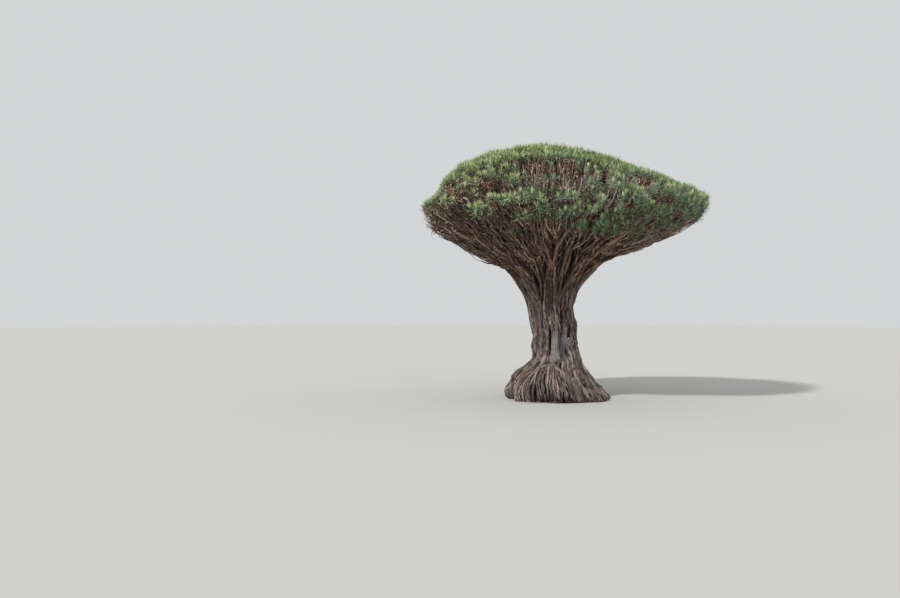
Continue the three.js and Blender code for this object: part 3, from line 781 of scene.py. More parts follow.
# the dome
m = 110000
phi = rng.uniform(0, 2 * np.pi, m)
rho = np.sqrt(rng.uniform(0, 1, m))
rho = rho * (1 - 0.06 * np.exp(-(wrap(phi - math.radians(265)) / 0.9) ** 4))
r = rho * (reach(phi) - 0.28)
lumps = ripple(np.stack([r * np.cos(phi), r * np.sin(phi), 0 * r], -1), 1.1, 41)
z = crown_top(r, phi) - 0.29 + 0.1 * lumps - 0.1 * rng.uniform(0, 1, m) - 0.06 * smooth(0.85, 1, rho)
dome = np.stack([r * np.cos(phi), r * np.sin(phi), z], -1)
keep = thin_out(dome, 0.29 + 0.06 * rng.uniform(0, 1, m))


def opened(phi):
    """1 where the crown's front face is open under its rim, 0 elsewhere."""
    return np.exp(-np.abs(wrap(phi - math.radians(247)) / math.radians(58)) ** 8)


def open_from(phi):
    return np.interp(np.degrees(phi) % 360, [185, 200, 215, 230, 250, 285, 300, 320], [0.95, 0.90, 0.85, 0.76, 0.70, 0.69, 0.72, 0.8])


shut = opened(phi[keep]) * smooth(0.0, 0.05, rho[keep] - open_from(phi[keep]))
keep = keep[rng.uniform(0, 1, len(keep)) > 0.55 * shut + 0.2 * smooth(0.85, 0.93, rho[keep]) * (1 - shut)]
dome, dome_phi, dome_rho = dome[keep], phi[keep], rho[keep]


# lower tiers: rosettes that end inside the crown's face, over its underside
def tier_share(phi, rho):
    deg = np.degrees(phi) % 360
    right = smooth(325, 345, deg) + (deg < 60) * smooth(60, 25, deg)
    front = 0.07 * smooth(200, 220, deg) * smooth(350, 330, deg)
    back = 0.5 * smooth(20, 60, deg) * smooth(178, 140, deg)
    left = 0.08 * smooth(165, 185, deg) * smooth(240, 222, deg)
    return np.clip(right + front + back + left, 0, 1)


m = 60000
phi = rng.uniform(0, 2 * np.pi, m)
rho = np.sqrt(rng.uniform(0.3, 0.97, m))
r = rho * (reach(phi) - 0.35)
low, high = crown_under(r, phi), crown_top(r, phi)
lift = 0.25 + 1.8 * rng.uniform(0, 1, m) ** 1.3
z = low + lift
tier = np.stack([r * np.cos(phi), r * np.sin(phi), z], -1)
lumps = ripple(tier, 1.25, 42)
ok = (z < high - 0.8) & (rng.uniform(0, 1, m) < tier_share(phi, rho) * np.clip(0.75 + 0.8 * lumps, 0, 1) * smooth(0.42, 0.7, rho))
tier, tier_phi, tier_rho = tier[ok], phi[ok], rho[ok]
keep = thin_out(tier, 0.36)
tier, tier_phi, tier_rho = tier[keep], tier_phi[keep], tier_rho[keep]

m = 9000
phi = math.radians(247) + math.radians(56) * rng.uniform(-1, 1, m)
rho = open_from(phi) + 0.01 + (0.95 - open_from(phi)) * rng.uniform(0, 1, m)
r = rho * (reach(phi) - 0.3)
z = crown_top(r, phi) - rng.uniform(1.5, 2.5, m)
deep = np.stack([r * np.cos(phi), r * np.sin(phi), z], -1)
fits = (z > crown_under(r, phi) + 0.5) & (rng.uniform(0, 1, m) < 0.3 + 0.4 * smooth(math.radians(230), math.radians(250), phi))
deep = deep[fits]
deep = deep[thin_out(deep, 0.5)]

# tufts on the crown's front face, each about a point of the 900 x 598 picture plane: x, y, half width, half height
TUFTS = (
    (488, 175, 9, 4), (473, 182, 7, 4), (450, 200, 8, 4), (478, 211, 16, 6), (488, 197, 8, 4),
    (504, 199, 8, 4), (529, 193, 9, 6), (517, 200, 5, 4), (547, 206, 9, 5), (533, 212, 10, 6),
    (518, 214, 8, 4), (549, 182, 8, 3), (511, 180, 8, 3), (596, 181, 8, 6), (568, 197, 10, 4),
    (616, 184, 9, 6), (587, 209, 13, 5), (579, 225, 12, 4), (612, 219, 14, 7), (632, 197, 12, 7),
    (653, 213, 17, 9), (657, 191, 14, 6), (675, 194, 12, 7), (671, 211, 14, 7), (621, 229, 13, 5),
    (635, 229, 10, 4), (686, 203, 12, 7), (698, 197, 8, 6), (645, 203, 10, 6), (628, 211, 10, 6),
    (603, 200, 8, 6), (597, 192, 7, 5), (557, 217, 8, 4), (640, 186, 12, 6), (600, 228, 9, 4),
    (571, 212, 6, 4), (655, 226, 12, 4), (668, 223, 12, 5), (684, 219, 10, 4), (641, 222, 10, 5), (699, 206, 7, 6), (689, 214, 9, 4), (540, 196, 5, 4), (462, 190, 6, 3),
)
EYE = np.array([0, -59.03, 5.6])
YAW = math.radians(6.97)
AHEAD, RIGHT = np.array([-math.sin(YAW), math.cos(YAW), 0]), np.array([math.cos(YAW), math.sin(YAW), 0])


TWIGS = ((604, 184, 6, 11), (613, 200, 8, 9), (647, 182, 9, 6), (549, 195, 6, 10), (575, 182, 9, 12), (646, 224, 6, 4), (484, 190, 11, 6), (470, 198, 14, 9), (437, 214, 14, 7), (458, 214, 12, 5), (638, 179, 8, 5), (531, 184, 6, 5),
         (652, 197, 4, 3), (629, 207, 7, 3), (670, 204, 5, 3), (678, 214, 5, 6), (592, 215, 7, 4))
RUST = ((448, 189, 6), (455, 190, 6), (444, 192, 4), (474, 176, 6), (487, 182, 5), (491, 200, 4), (508, 188, 5), (532, 165, 6), (542, 164, 5), (565, 159, 5),
        (552, 213, 5), (426, 210, 5), (665, 184, 6), (646, 181, 7), (594, 164, 5), (437, 199, 3), (577, 162, 3), (632, 186, 4), (607, 172, 4), (525, 165, 5), (421, 214, 4), (431, 222, 4))


def in_twigs(p, phi):
    sx, sy = seen_at(p)
    hit = np.zeros(len(p), bool)
    for x, y, w, h in TWIGS:
        hit |= ((sx - x) / w) ** 2 + ((sy - y) / h) ** 2 < 1
    return hit & (np.cos(phi - math.radians(268)) > 0.3)


def face_point(x, y, deeper):
    """The first point of the crown behind a point of the picture plane, and a little deeper."""
    ray = AHEAD + RIGHT * (x - 450) / 875 + np.array([0, 0, (315 - y) / 875])
    t = np.arange(44.0, 68.0, 0.05)
    p = EYE + ray * t[:, None]
    r, phi = np.hypot(p[:, 0], p[:, 1]), np.arctan2(p[:, 1], p[:, 0])
    inside = (r < reach(phi) - 0.3) & (p[:, 2] > crown_under(r, phi) + 0.05) & (p[:, 2] < crown_top(r, phi) - 0.25)
    if not inside.any():
        return None
    return p[int(np.argmax(inside))] + ray / np.linalg.norm(ray) * deeper


def seen_at(p):
    rel = p - EYE
    depth = rel @ AHEAD
    return 450 + 875 * (rel @ RIGHT) / depth, 315 - 875 * rel[:, 2] / depth


# the lower edge of the crown's green band in the picture plane: under it, left of x = 606, only the tufts carry leaves
BAND_X = (410, 420, 429, 439, 444, 453, 461, 467, 474, 482, 490, 500, 515, 525, 544, 560, 573, 588, 597, 607, 640)
BAND_Y = (212, 208, 201, 198, 190, 183, 186, 182, 183, 178, 178, 176, 169, 162, 161, 159, 162, 162, 166, 169, 175)


def under_band(p, phi, round_to=265):
    sx, sy = seen_at(p)
    return (np.cos(phi - math.radians(round_to)) > 0.12) & (sx < 606) & (sy > np.interp(sx, BAND_X, BAND_Y) + 1.5 * ripple(p, 0.8, 91))


few = 0.95 - 0.13 * smooth(495, 520, seen_at(dome)[0])
share = rng.uniform(0, 1, len(dome))
gone = (under_band(dome, dome_phi) & (share < few)) | (in_twigs(dome, dome_phi) & (share < 0.93))
dome, dome_phi, dome_rho = dome[~gone], dome_phi[~gone], dome_rho[~gone]
# the crown's left shoulder falls steeply, and the last boughs reach out below it
sx, sy = seen_at(dome)
drop = np.clip(np.interp(sx, (415, 424, 433, 438, 441.5, 444, 449), (207, 206, 202.5, 198.5, 192, 186, 176)) - sy, 0, 15) / 15
dome[:, 2] -= np.where(sx < 449, drop, 0)
dome[:, 2] += 0.24 * np.exp(-((sx - 463) / 7) ** 2)
share, tier_phi = rng.uniform(0, 1, len(tier)), np.arctan2(tier[:, 1], tier[:, 0])
gone = (under_band(tier, tier_phi, 235) & (share < 0.9)) | (in_twigs(tier, tier_phi) & (share < 0.93))
tier = tier[~gone]
face = []
for x, y, w, h in TUFTS:
    for _ in range(max(4, int(4 * w * h * 0.85 / 16))):
        g, q = rng.uniform(0, 6.28), math.sqrt(rng.uniform(0, 1))
        p = face_point(x + w * q * math.cos(g), y + h * q * math.sin(g), rng.uniform(-0.5, 0.05))
        if p is not None:
            face.append(p)
face = np.array(face)
face = face[thin_out(face, 0.24)]
face = face[~(in_twigs(face, np.arctan2(face[:, 1], face[:, 0])) & (rng.uniform(0, 1, len(face)) < 0.9))]
far_off = np.array([np.min(((face - p) ** 2).sum(1)) > 0.28 ** 2 for p in tier])
tier = tier[far_off]
deep = deep[np.array([np.min(((face - p) ** 2).sum(1)) > 0.4 ** 2 for p in deep])]
tier = np.concatenate([tier, face, deep])
inside = np.concatenate([np.zeros(len(tier) - len(deep), bool), np.ones(len(deep), bool)])
tier_phi = np.arctan2(tier[:, 1], tier[:, 0])
tier_rho = np.hypot(tier[:, 0], tier[:, 1]) / reach(tier_phi)

# bare and dead twigs along the crown's underside
m = 14000
phi = rng.uniform(0, 2 * np.pi, m)
rho = np.sqrt(rng.uniform(0.08, 0.96, m))
r = rho * (reach(phi) - 0.2)
z = crown_under(r, phi) + 0.12 + 0.9 * rng.uniform(0, 1, m) ** 1.5
bare = np.stack([r * np.cos(phi), r * np.sin(phi), z], -1)
keep = thin_out(bare, 0.46 - 0.09 * np.maximum(0, np.cos(phi - math.radians(215))))
keep = keep[rng.uniform(0, 1, len(keep)) < 0.9 - 0.62 * np.maximum(0, np.cos(phi[keep] + 0.45)) * smooth(0.35, 0.6, rho[keep])]
bare, bare_phi, bare_rho = bare[keep], phi[keep], rho[keep]
m = 17000
phi = math.radians(256) + math.radians(70) * rng.uniform(-1, 1, m)
rho = np.sqrt(rng.uniform(0.5, 0.95, m))
r = rho * (reach(phi) - 0.3)
z = crown_top(r, phi) - 0.25 - 1.6 * rng.uniform(0, 1, m) ** 1.5
z = np.maximum(z, crown_under(r, phi) + 0.2)
more = np.stack([r * np.cos(phi), r * np.sin(phi), z], -1)
keep = thin_out(more, 0.37)
here = np.maximum(opened(phi[keep]) * smooth(-0.02, 0.04, rho[keep] - open_from(phi[keep])), 0.9 * under_band(more[keep], phi[keep]))
keep = keep[rng.uniform(0, 1, len(keep)) < 0.85 * here]
bare, bare_phi, bare_rho = np.concatenate([bare, more[keep]]), np.concatenate([bare_phi, phi[keep]]), np.concatenate([bare_rho, rho[keep]])

extra = []
for _ in range(320):
    p = face_point(rng.uniform(430, 612), rng.uniform(200, 233), rng.uniform(0.1, 1.3))
    if p is not None:
        extra.append(p)
for x, y, w, h in TWIGS:
    for _ in range(int(w * h * 0.7)):
        g, q = rng.uniform(0, 6.28), math.sqrt(rng.uniform(0, 1))
        p = face_point(x + w * q * math.cos(g), y + h * q * math.sin(g), rng.uniform(-0.1, 0.9))
        if p is not None:
            extra.append(p)
for _ in range(260):
    p = face_point(rng.uniform(420, 462), rng.uniform(207, 240), rng.uniform(0.0, 0.9))
    if p is not None:
        extra.append(p)
for x, y, w in RUST:
    for _ in range(int(w * w * 0.13) + 1):
        g, q = rng.uniform(0, 6.28), 0.8 * w * math.sqrt(rng.uniform(0, 1))
        p = face_point(x + q * math.cos(g), y + q * math.sin(g), rng.uniform(-0.15, 0.25))
        if p is not None:
            extra.append(p)
extra = np.array(extra)
extra = extra[thin_out(extra, 0.3)]
extra = extra[np.array([np.min(((bare - p) ** 2).sum(1)) > 0.3 ** 2 for p in extra])]
bare = np.concatenate([bare, extra])
bare_phi = np.arctan2(bare[:, 1], bare[:, 0])
bare_rho = np.hypot(bare[:, 0], bare[:, 1]) / reach(bare_phi)

tip = np.concatenate([dome, tier, bare])
tip_phi = np.concatenate([dome_phi, tier_phi, bare_phi])
tip_rho = np.concatenate([dome_rho, tier_rho, bare_rho])
is_dome = np.arange(len(tip)) < len(dome)
is_bare = np.arange(len(tip)) >= len(dome) + len(tier)
is_deep = np.concatenate([np.zeros(len(dome), bool), inside, np.zeros(len(bare), bool)])
stray = np.concatenate([under_band(dome, dome_phi), np.zeros(len(tier) + len(bare), bool)])
leafy = np.flatnonzero(~is_bare)
FORK = np.array([-0.3, 0, 6.8])
flow = unit(tip - FORK)
flow[is_dome] = unit(flow[is_dome] + np.array([0, 0, 0.25]))
axis = unit(flow * np.where(is_bare, 0.8, 0.5)[:, None] + np.array([0, 0, 0.55]) * np.where(is_bare, 0.55, 1)[:, None]
            + rng.normal(size=(len(tip), 3)) * np.where(is_bare, 0.24, 0.11)[:, None])
print("rosettes", len(dome), len(tier), "bare", len(bare))

# ------------------------------------------------------------------ branching from the limbs to the rosettes
carrier_p = np.array([c[0] for c in mains])
carrier_d = np.array([c[1] for c in mains])
carrier_r = np.array([c[2] for c in mains])
carrier_end = np.array([c[3] for c in mains])
rng = np.random.default_rng(51)


def thick(n):
    return TIP_R * 1.08 * n ** 0.40


def split(points, k):
    n = len(points)
    c = [points[rng.integers(n)]]
    for _ in range(k - 1):
        d = np.min([((points - q) ** 2).sum(1) for q in c], axis=0)
        c.append(points[int(np.argmax(d * rng.uniform(0.6, 1, n)))])
    c = np.array(c)
    for _ in range(6):
        d = ((points[:, None] - c[None]) ** 2).sum(-1)
        lab = d.argmin(1)
        for j in range(k):
            if (lab == j).any():
                c[j] = points[lab == j].mean(0)
    return [np.flatnonzero(lab == j) for j in range(k) if (lab == j).any()]


def hermite(p0, d0, p1, d1, t, pull=0.8):
    L = np.linalg.norm(p1 - p0)
    a, b = 2 * t ** 3 - 3 * t ** 2 + 1, t ** 3 - 2 * t ** 2 + t
    c, d = -2 * t ** 3 + 3 * t ** 2, t ** 3 - t ** 2
    return a * p0 + b * d0 * L * pull + c * p1 + d * d1 * L * pull


def above(p):
    """Keeps a fork from sagging under the crown's underside."""
    r, phi = math.hypot(p[0], p[1]), math.atan2(p[1], p[0])
    if r > 2.0:
        p = p.copy()
        p[2] = max(p[2], float(crown_under(r, phi)) + 0.12 + 0.3 * float(smooth(4.5, 2.5, r)))
    return p


inner_parts, stems = [], []


def shoot(start, ahead, ids, r0, depth):
    n = len(ids)
    if n == 1:
        i = ids[0]
        L = np.linalg.norm(tip[i] - start)
        d0 = unit(0.4 * ahead + 0.6 * (tip[i] - start) / max(L, 1e-6) + rng.normal(size=3) * 0.2)
        slim = rng.uniform(0.5, 0.75) if is_bare[i] else 1.0
        stems.append((start, d0, tip[i], axis[i], min(r0, TIP_R * 1.3), TIP_R * slim * rng.uniform(0.85, 1.05), i, depth))
        return
    P, U = tip[ids], axis[ids]
    T = unit(U.mean(0) + 0.5 * flow[ids].mean(0))
    room = np.linalg.norm(P.mean(0) - start)
    back = min(rng.uniform(0.95, 1.7), 0.5 * room)
    Q = above(P.mean(0) - T * back)
    L = np.linalg.norm(Q - start)
    if L < 0.3:
        for part in split(P, min(n, 3)):
            shoot(start, ahead, ids[part], r0, depth + 1)
        return
    G = max(1, math.ceil(math.log(n) / math.log(2.7)))
    d0 = unit(0.55 * ahead + 0.45 * (Q - start) / L)
    f = 1 / G
    node = hermite(start, d0, Q, T, f)
    soon = hermite(start, d0, Q, T, min(1, f + 0.03)) if f < 1 else Q + T * 0.1
    tangent = unit(soon - node)
    node = above(node + rng.normal(size=3) * 0.055 * L * f)
    tangent = unit(tangent + rng.normal(size=3) * 0.17)
    r_here = min(thick(n), r0)
    r_end = min(thick(n) * 0.9, r_here)
    inner_parts.append((start, d0, node, tangent, r_here, r_end, n, depth))
    k = 2 if n == 2 else (int(rng.choice([2, 3], p=[0.4, 0.6])) if n < 9 else int(rng.choice([2, 3, 4], p=[0.35, 0.45, 0.2])))
    for part in split(P, k):
        shoot(node, tangent, ids[part], r_end, depth + 1)


def bunches(ids, most):
    if len(ids) <= most:
        return [ids]
    out = []
    for part in split(tip[ids], 2):
        out += bunches(ids[part], most)
    return out


groups = bunches(np.arange(len(tip)), 22)
order = rng.permutation(len(groups))
uses = np.zeros(len(mains))
for g in order:
    ids = groups[g]
    centre = tip[ids].mean(0)
    to = centre[None] - carrier_p
    far = np.linalg.norm(to, axis=1)
    cosine = (to * unit(carrier_d * 0.8 + np.array([0, 0, 0.25]))).sum(1) / np.maximum(far, 1e-6)
    swing = np.abs(wrap(np.arctan2(carrier_p[:, 1], carrier_p[:, 0]) - math.atan2(centre[1], centre[0])))
    outward = np.hypot(carrier_p[:, 0], carrier_p[:, 1]) - math.hypot(centre[0], centre[1])
    cost = (0.33 * far + 2.6 * (1 - cosine) + 1.1 * swing * np.clip(math.hypot(centre[0], centre[1]), 1, 6)
            + 3.0 * np.maximum(0, outward) + 5.0 * (far < 1.7) + 1.0 * uses / (1 + 1.6 * carrier_end) + rng.uniform(0, 1.1, len(mains)))
    j = int(np.argmin(cost))
    uses[j] += 1
    shoot(carrier_p[j], unit(carrier_d[j] * 0.8 + np.array([0, 0, 0.2])), ids, carrier_r[j] * 0.85, 1)
for j in np.flatnonzero((carrier_end == 1) & (uses == 0)):    # a bough that carries nothing at its end still tapers out
    d = unit(carrier_d[j] + np.array([0, 0, 0.5]))
    inner_parts.append((carrier_p[j], carrier_d[j], carrier_p[j] + d * 0.9, d, carrier_r[j], 0.03, 1, 1))
print("groups", len(groups), "branches", len(inner_parts), "stems", len(stems))


def held_up(v):
    """Keeps the outer twigs from sagging out of the crown's underside."""
    low = crown_under(np.hypot(v[..., 0], v[..., 1]), np.arctan2(v[..., 1], v[..., 0])) - 0.02
    sag = np.maximum(0, low - v[..., 2]) * smooth(3.6, 5.0, np.hypot(v[..., 0], v[..., 1]))
    v = v.copy()
    v[..., 2] += sag - 0.16 * np.tanh(sag / 0.16)
    return v


def many_tubes(p0, d0, p1, d1, ra, rb, cols, stops, swell, rng, wobble=0.05):
    """Tubes along many short curves at once: returns verts, quads and closing triangles."""
    B, S = len(p0), len(stops)
    L = np.linalg.norm(p1 - p0, axis=1)[:, None, None]
    t = np.asarray(stops)[None, :, None]
    pull = 0.85
    a, b, c, d = 2 * t ** 3 - 3 * t ** 2 + 1, t ** 3 - 2 * t ** 2 + t, -2 * t ** 3 + 3 * t ** 2, t ** 3 - t ** 2
    p = a * p0[:, None] + b * d0[:, None] * L * pull + c * p1[:, None] + d * d1[:, None] * L * pull
    da, db, dc, dd = 6 * t ** 2 - 6 * t, 3 * t ** 2 - 4 * t + 1, -6 * t ** 2 + 6 * t, 3 * t ** 2 - 2 * t
    ahead = unit(da * p0[:, None] + db * d0[:, None] * L * pull + dc * p1[:, None] + dd * d1[:, None] * L * pull)
    p = p + rng.normal(size=(B, 1, 3)) * wobble * L * np.sin(np.pi * t)
    ref = unit(np.cross(p1 - p0, rng.normal(size=(B, 3))))[:, None]
    up = unit(np.cross(ahead, np.broadcast_to(ref, ahead.shape)))
    across = np.cross(up, ahead)
    rad = (ra[:, None] + (rb - ra)[:, None] * np.asarray(stops)[None]) * np.asarray(swell)[None]
    th = np.arange(cols) * 2 * np.pi / cols
    v = p[:, :, None] + (np.cos(th)[None, None, :, None] * across[:, :, None] + np.sin(th)[None, None, :, None] * up[:, :, None]) * rad[:, :, None, None]
    v = v.reshape(B, S * cols, 3)
    cap = p[:, -1] + ahead[:, -1] * rb[:, None] * 0.8
    v = np.concatenate([v, cap[:, None]], 1)
    per = S * cols + 1
    q = grid_quads(S, cols)
    ring = np.arange(cols) + (S - 1) * cols
    tr = np.stack([ring, np.roll(ring, -1), np.full(cols, S * cols)], -1)
    off = (np.arange(B) * per)[:, None, None]
    return v, (q[None] + off).reshape(-1, 4), (tr[None] + off).reshape(-1, 3), per


rng = np.random.default_rng(61)
P0 = np.array([s[0] for s in inner_parts]); D0 = np.array([s[1] for s in inner_parts])
P1 = np.array([s[2] for s in inner_parts]); D1 = np.array([s[3] for s in inner_parts])
RA = np.array([s[4] for s in inner_parts]); RB = np.array([s[5] for s in inner_parts])


def dusk(p):
    """1 on the dark, reddish left of the crown's face and underside, 0 elsewhere."""
    a = np.arctan2(p[:, 1], p[:, 0])
    return smooth(0.35, 0.9, np.cos(a - math.radians(206))) * smooth(2.0, 4.5, np.hypot(p[:, 0], p[:, 1]))


branches = Pile()
shares = rng.uniform(0, 1, len(P0))
for pick, cols, stops, swell in ((RA >= 0.075, 7, (0, 0.12, 0.36, 0.68, 1), (1.0, 1.1, 0.95, 0.94, 1.08)), (RA < 0.075, 5, (0, 0.15, 0.6, 1), (1.0, 1.1, 0.94, 1.08))):
    v, q, t, per = many_tubes(P0[pick], D0[pick], P1[pick], D1[pick], RA[pick], RB[pick], cols, stops, swell, rng)
    v = held_up(v)
    branches.add(v.reshape(-1, 3), q, t, tone=np.repeat(shares[pick], per), age=np.repeat(smooth(0.03, 0.2, RA[pick]), per), hollow=np.repeat(-0.2 + 0.4 * dusk(P1[pick]), per))



S0 = np.array([s[0] for s in stems]); SD0 = np.array([s[1] for s in stems])
S1 = np.array([s[2] for s in stems]); SD1 = np.array([s[3] for s in stems])
SI = np.array([s[6] for s in stems])
SA = np.array([s[4] for s in stems]); SB = np.array([s[5] for s in stems])
v, q, t, per = many_tubes(S0, SD0, S1, SD1, SA, SB, 4, (0, 0.12, 0.55, 1), (1.0, 1.12, 0.93, 1.05), rng, wobble=0.035)
v = held_up(v)
branchlets = Pile()
branchlets.add(v.reshape(-1, 3), q, t, tone=np.repeat(np.where(is_bare[SI] & (np.linalg.norm(S1 - S0, axis=1) < 1.5) & (rng.uniform(0, 1, len(S0)) < 0.3 - 0.14 * dusk(S1) + 0.18 * in_twigs(S1, np.arctan2(S1[:, 1], S1[:, 0]))), rng.uniform(0.8, 1, len(S0)), rng.uniform(0, 0.86, len(S0)) * (1 - 0.45 * dusk(S1) - 0.3 * in_twigs(S1, np.arctan2(S1[:, 1], S1[:, 0])))), per),
               hollow=np.repeat(rng.uniform(-0.2, 0.3, len(S0)) + 0.34 * dusk(S1) + 0.14 * in_twigs(S1, np.arctan2(S1[:, 1], S1[:, 0])), per), age=0.0)


# short pale stubs of dead shoots along the outer branches
m = 2600
at = rng.integers(0, len(S0), m)
f = rng.uniform(0.05, 0.9, m)[:, None]
q0 = S0[at] * (1 - f) + S1[at] * f + SD0[at] * 0.1 * f * (1 - f)
a0 = np.arctan2(q0[:, 1], q0[:, 0])
r0 = np.hypot(q0[:, 0], q0[:, 1])
ok = (q0[:, 2] < crown_under(r0, a0) + 1.3) | (is_bare[SI[at]] & (rng.uniform(0, 1, m) < 0.6))
ok &= rng.uniform(0, 1, m) < 0.62
q0, at = q0[ok], at[ok]
out = unit(np.stack([q0[:, 0], q0[:, 1], 0 * q0[:, 0]], -1))
d0 = unit(0.5 * unit(S1[at] - S0[at]) + 0.5 * out + 0.6 * rng.normal(size=q0.shape) + np.array([0, 0, -0.1]))
q1 = q0 + d0 * rng.uniform(0.12, 0.3, len(q0))[:, None]
d1 = unit(d0 + 0.4 * rng.normal(size=q0.shape))
thin = rng.uniform(0.028, 0.05, len(q0))
v, q, t, per = many_tubes(q0, d0, q1, d1, thin, thin * 0.8, 3, (0, 1), (1.0, 1.0), rng, wobble=0.0)
branchlets.add(v.reshape(-1, 3), q, t, tone=np.repeat(rng.uniform(0.84, 1.0, len(q0)), per), hollow=np.repeat(rng.uniform(-1.0, 0.1, len(q0)), per), age=0.0)
print("stubs", len(q0))


# ------------------------------------------------------------------ leaves
def leaf_strips(base, first, second, width_dir, length, width, bend_at, joints):
    """Flat sword leaves, as strips: base point, direction at the base, direction at the tip, and width direction."""
    N = len(base)
    L, W = length[:, None], width[:, None] / 2
    if joints == 2:
        mid = unit(first + second)
        p1 = base + first * L * 0.36
        p2 = p1 + mid * L * 0.34
        p3 = p2 + second * L * 0.30
        v = np.stack([base - width_dir * W * 0.62, base + width_dir * W * 0.62, p1 - width_dir * W, p1 + width_dir * W,
                      p2 - width_dir * W * 0.74, p2 + width_dir * W * 0.74, p3], 1)
        q = np.array([[0, 1, 3, 2], [2, 3, 5, 4]])
        t = np.array([[4, 5, 6]])
        return v.reshape(-1, 3), (q[None] + (np.arange(N) * 7)[:, None, None]).reshape(-1, 4), (t[None] + (np.arange(N) * 7)[:, None, None]).reshape(-1, 3)
    p1 = base + first * L * 0.42
    p2 = p1 + unit(first + second) * L * 0.58
    v = np.stack([base - width_dir * W * 0.7, base + width_dir * W * 0.7, p1 - width_dir * W, p1 + width_dir * W, p2], 1)
    q = np.array([[0, 1, 3, 2]])
    t = np.array([[2, 3, 4]])
    return v.reshape(-1, 3), (q[None] + (np.arange(N) * 5)[:, None, None]).reshape(-1, 4), (t[None] + (np.arange(N) * 5)[:, None, None]).reshape(-1, 3)


def rosette(P, U, size, count, lo, hi, rng, joints, droop, along=(0.05, -0.12), slim=1.0, spread=1.0):
    """count leaves at each tip, fanned from lo to hi degrees off its axis. Returns strips and the tip of each leaf's faces."""
    R = len(P)
    X = unit(np.cross(U, np.where(np.abs(U[:, :1]) < 0.7, np.array([[1.0, 0, 0]]), np.array([[0, 1.0, 0]]))))
    Y = np.cross(U, X)
    j = np.arange(count)[None]
    f = (j + rng.uniform(-0.4, 0.4, (R, count))) / max(count - 1, 1)
    f = np.clip(f, 0, 1)
    turn = j * GOLDEN + rng.uniform(0, 6.28, (R, 1)) + rng.uniform(-0.15, 0.15, (R, count))
    a = np.radians(lo + (hi - lo) * f ** 0.85 + rng.normal(size=(R, count)) * 6)
    b = a + np.radians(droop * (0.35 + 0.65 * f) + rng.normal(size=(R, count)) * 7)
    out = np.cos(turn)[..., None] * X[:, None] + np.sin(turn)[..., None] * Y[:, None]
    Uc = U[:, None]
    first = np.cos(a)[..., None] * Uc + np.sin(a)[..., None] * out
    second = np.cos(b)[..., None] * Uc + np.sin(b)[..., None] * out
    side = np.cross(Uc, out)
    twist = rng.normal(size=(R, count)) * 0.3
    face = np.cross(first, side)
    width_dir = unit(np.cos(twist)[..., None] * side + np.sin(twist)[..., None] * face)
    base = P[:, None] + Uc * (along[0] + (along[1] - along[0]) * f)[..., None] + out * 0.03
    L = size[:, None] * (0.78 + 0.3 * np.sin(np.pi * np.clip(0.15 + 0.75 * f, 0, 1))) * rng.uniform(0.86, 1.12, (R, count))
    W = LEAF_W * slim * rng.uniform(0.85, 1.15, (R, count))
    flat = lambda x: x.reshape(-1, 3)
    return leaf_strips(flat(base), flat(first), flat(second), flat(width_dir), L.ravel(), W.ravel(), None, joints)


def srgb(r, g, b):
    f = lambda c: c / 12.92 if c <= 0.04045 else ((c + 0.055) / 1.055) ** 2.4
    return (f(r), f(g), f(b), 1.0)


# the cream tone is a painted highlight for rosette hearts
LEAF_TONES = {
    "leaf_bright": (0.63, 0.69, 0.46), "leaf_lime": (0.505, 0.57, 0.355), "leaf_fresh": (0.43, 0.51, 0.32),
    "leaf_pale": (0.70, 0.74, 0.57), "leaf_grey": (0.53, 0.605, 0.465), "leaf_blue": (0.43, 0.555, 0.435),
    "leaf_sea": (0.385, 0.51, 0.39), "leaf_deep": (0.28, 0.35, 0.26), "leaf_olive": (0.43, 0.43, 0.27),
    "leaf_dull": (0.42, 0.45, 0.32), "leaf_cream_glint": (0.80, 0.79, 0.66),
}
DRY_TONES = {"dry_rust": (0.405, 0.30, 0.228), "dry_orange": (0.48, 0.365, 0.275), "dry_straw": (0.66, 0.60, 0.50), "dry_brown": (0.36, 0.285, 0.23)}


def leaf_shade(name, colour, rough):
    m = bpy.data.materials.new(name)
    m.use_nodes = True
    b = m.node_tree.nodes["Principled BSDF"]
    b.inputs["Base Color"].default_value = srgb(*colour)
    b.inputs["Roughness"].default_value = rough
    b.inputs["Specular IOR Level"].default_value = 0.45
    return m


leaf_names = list(LEAF_TONES)
leaf_mats = [leaf_shade(n, c, 0.42) for n, c in LEAF_TONES.items()]
dry_names = list(DRY_TONES)
dry_mats = [leaf_shade(n, c, 0.8) for n, c in DRY_TONES.items()]
T = {n: i for i, n in enumerate(leaf_names)}

rng = np.random.default_rng(71)
n = len(tip)
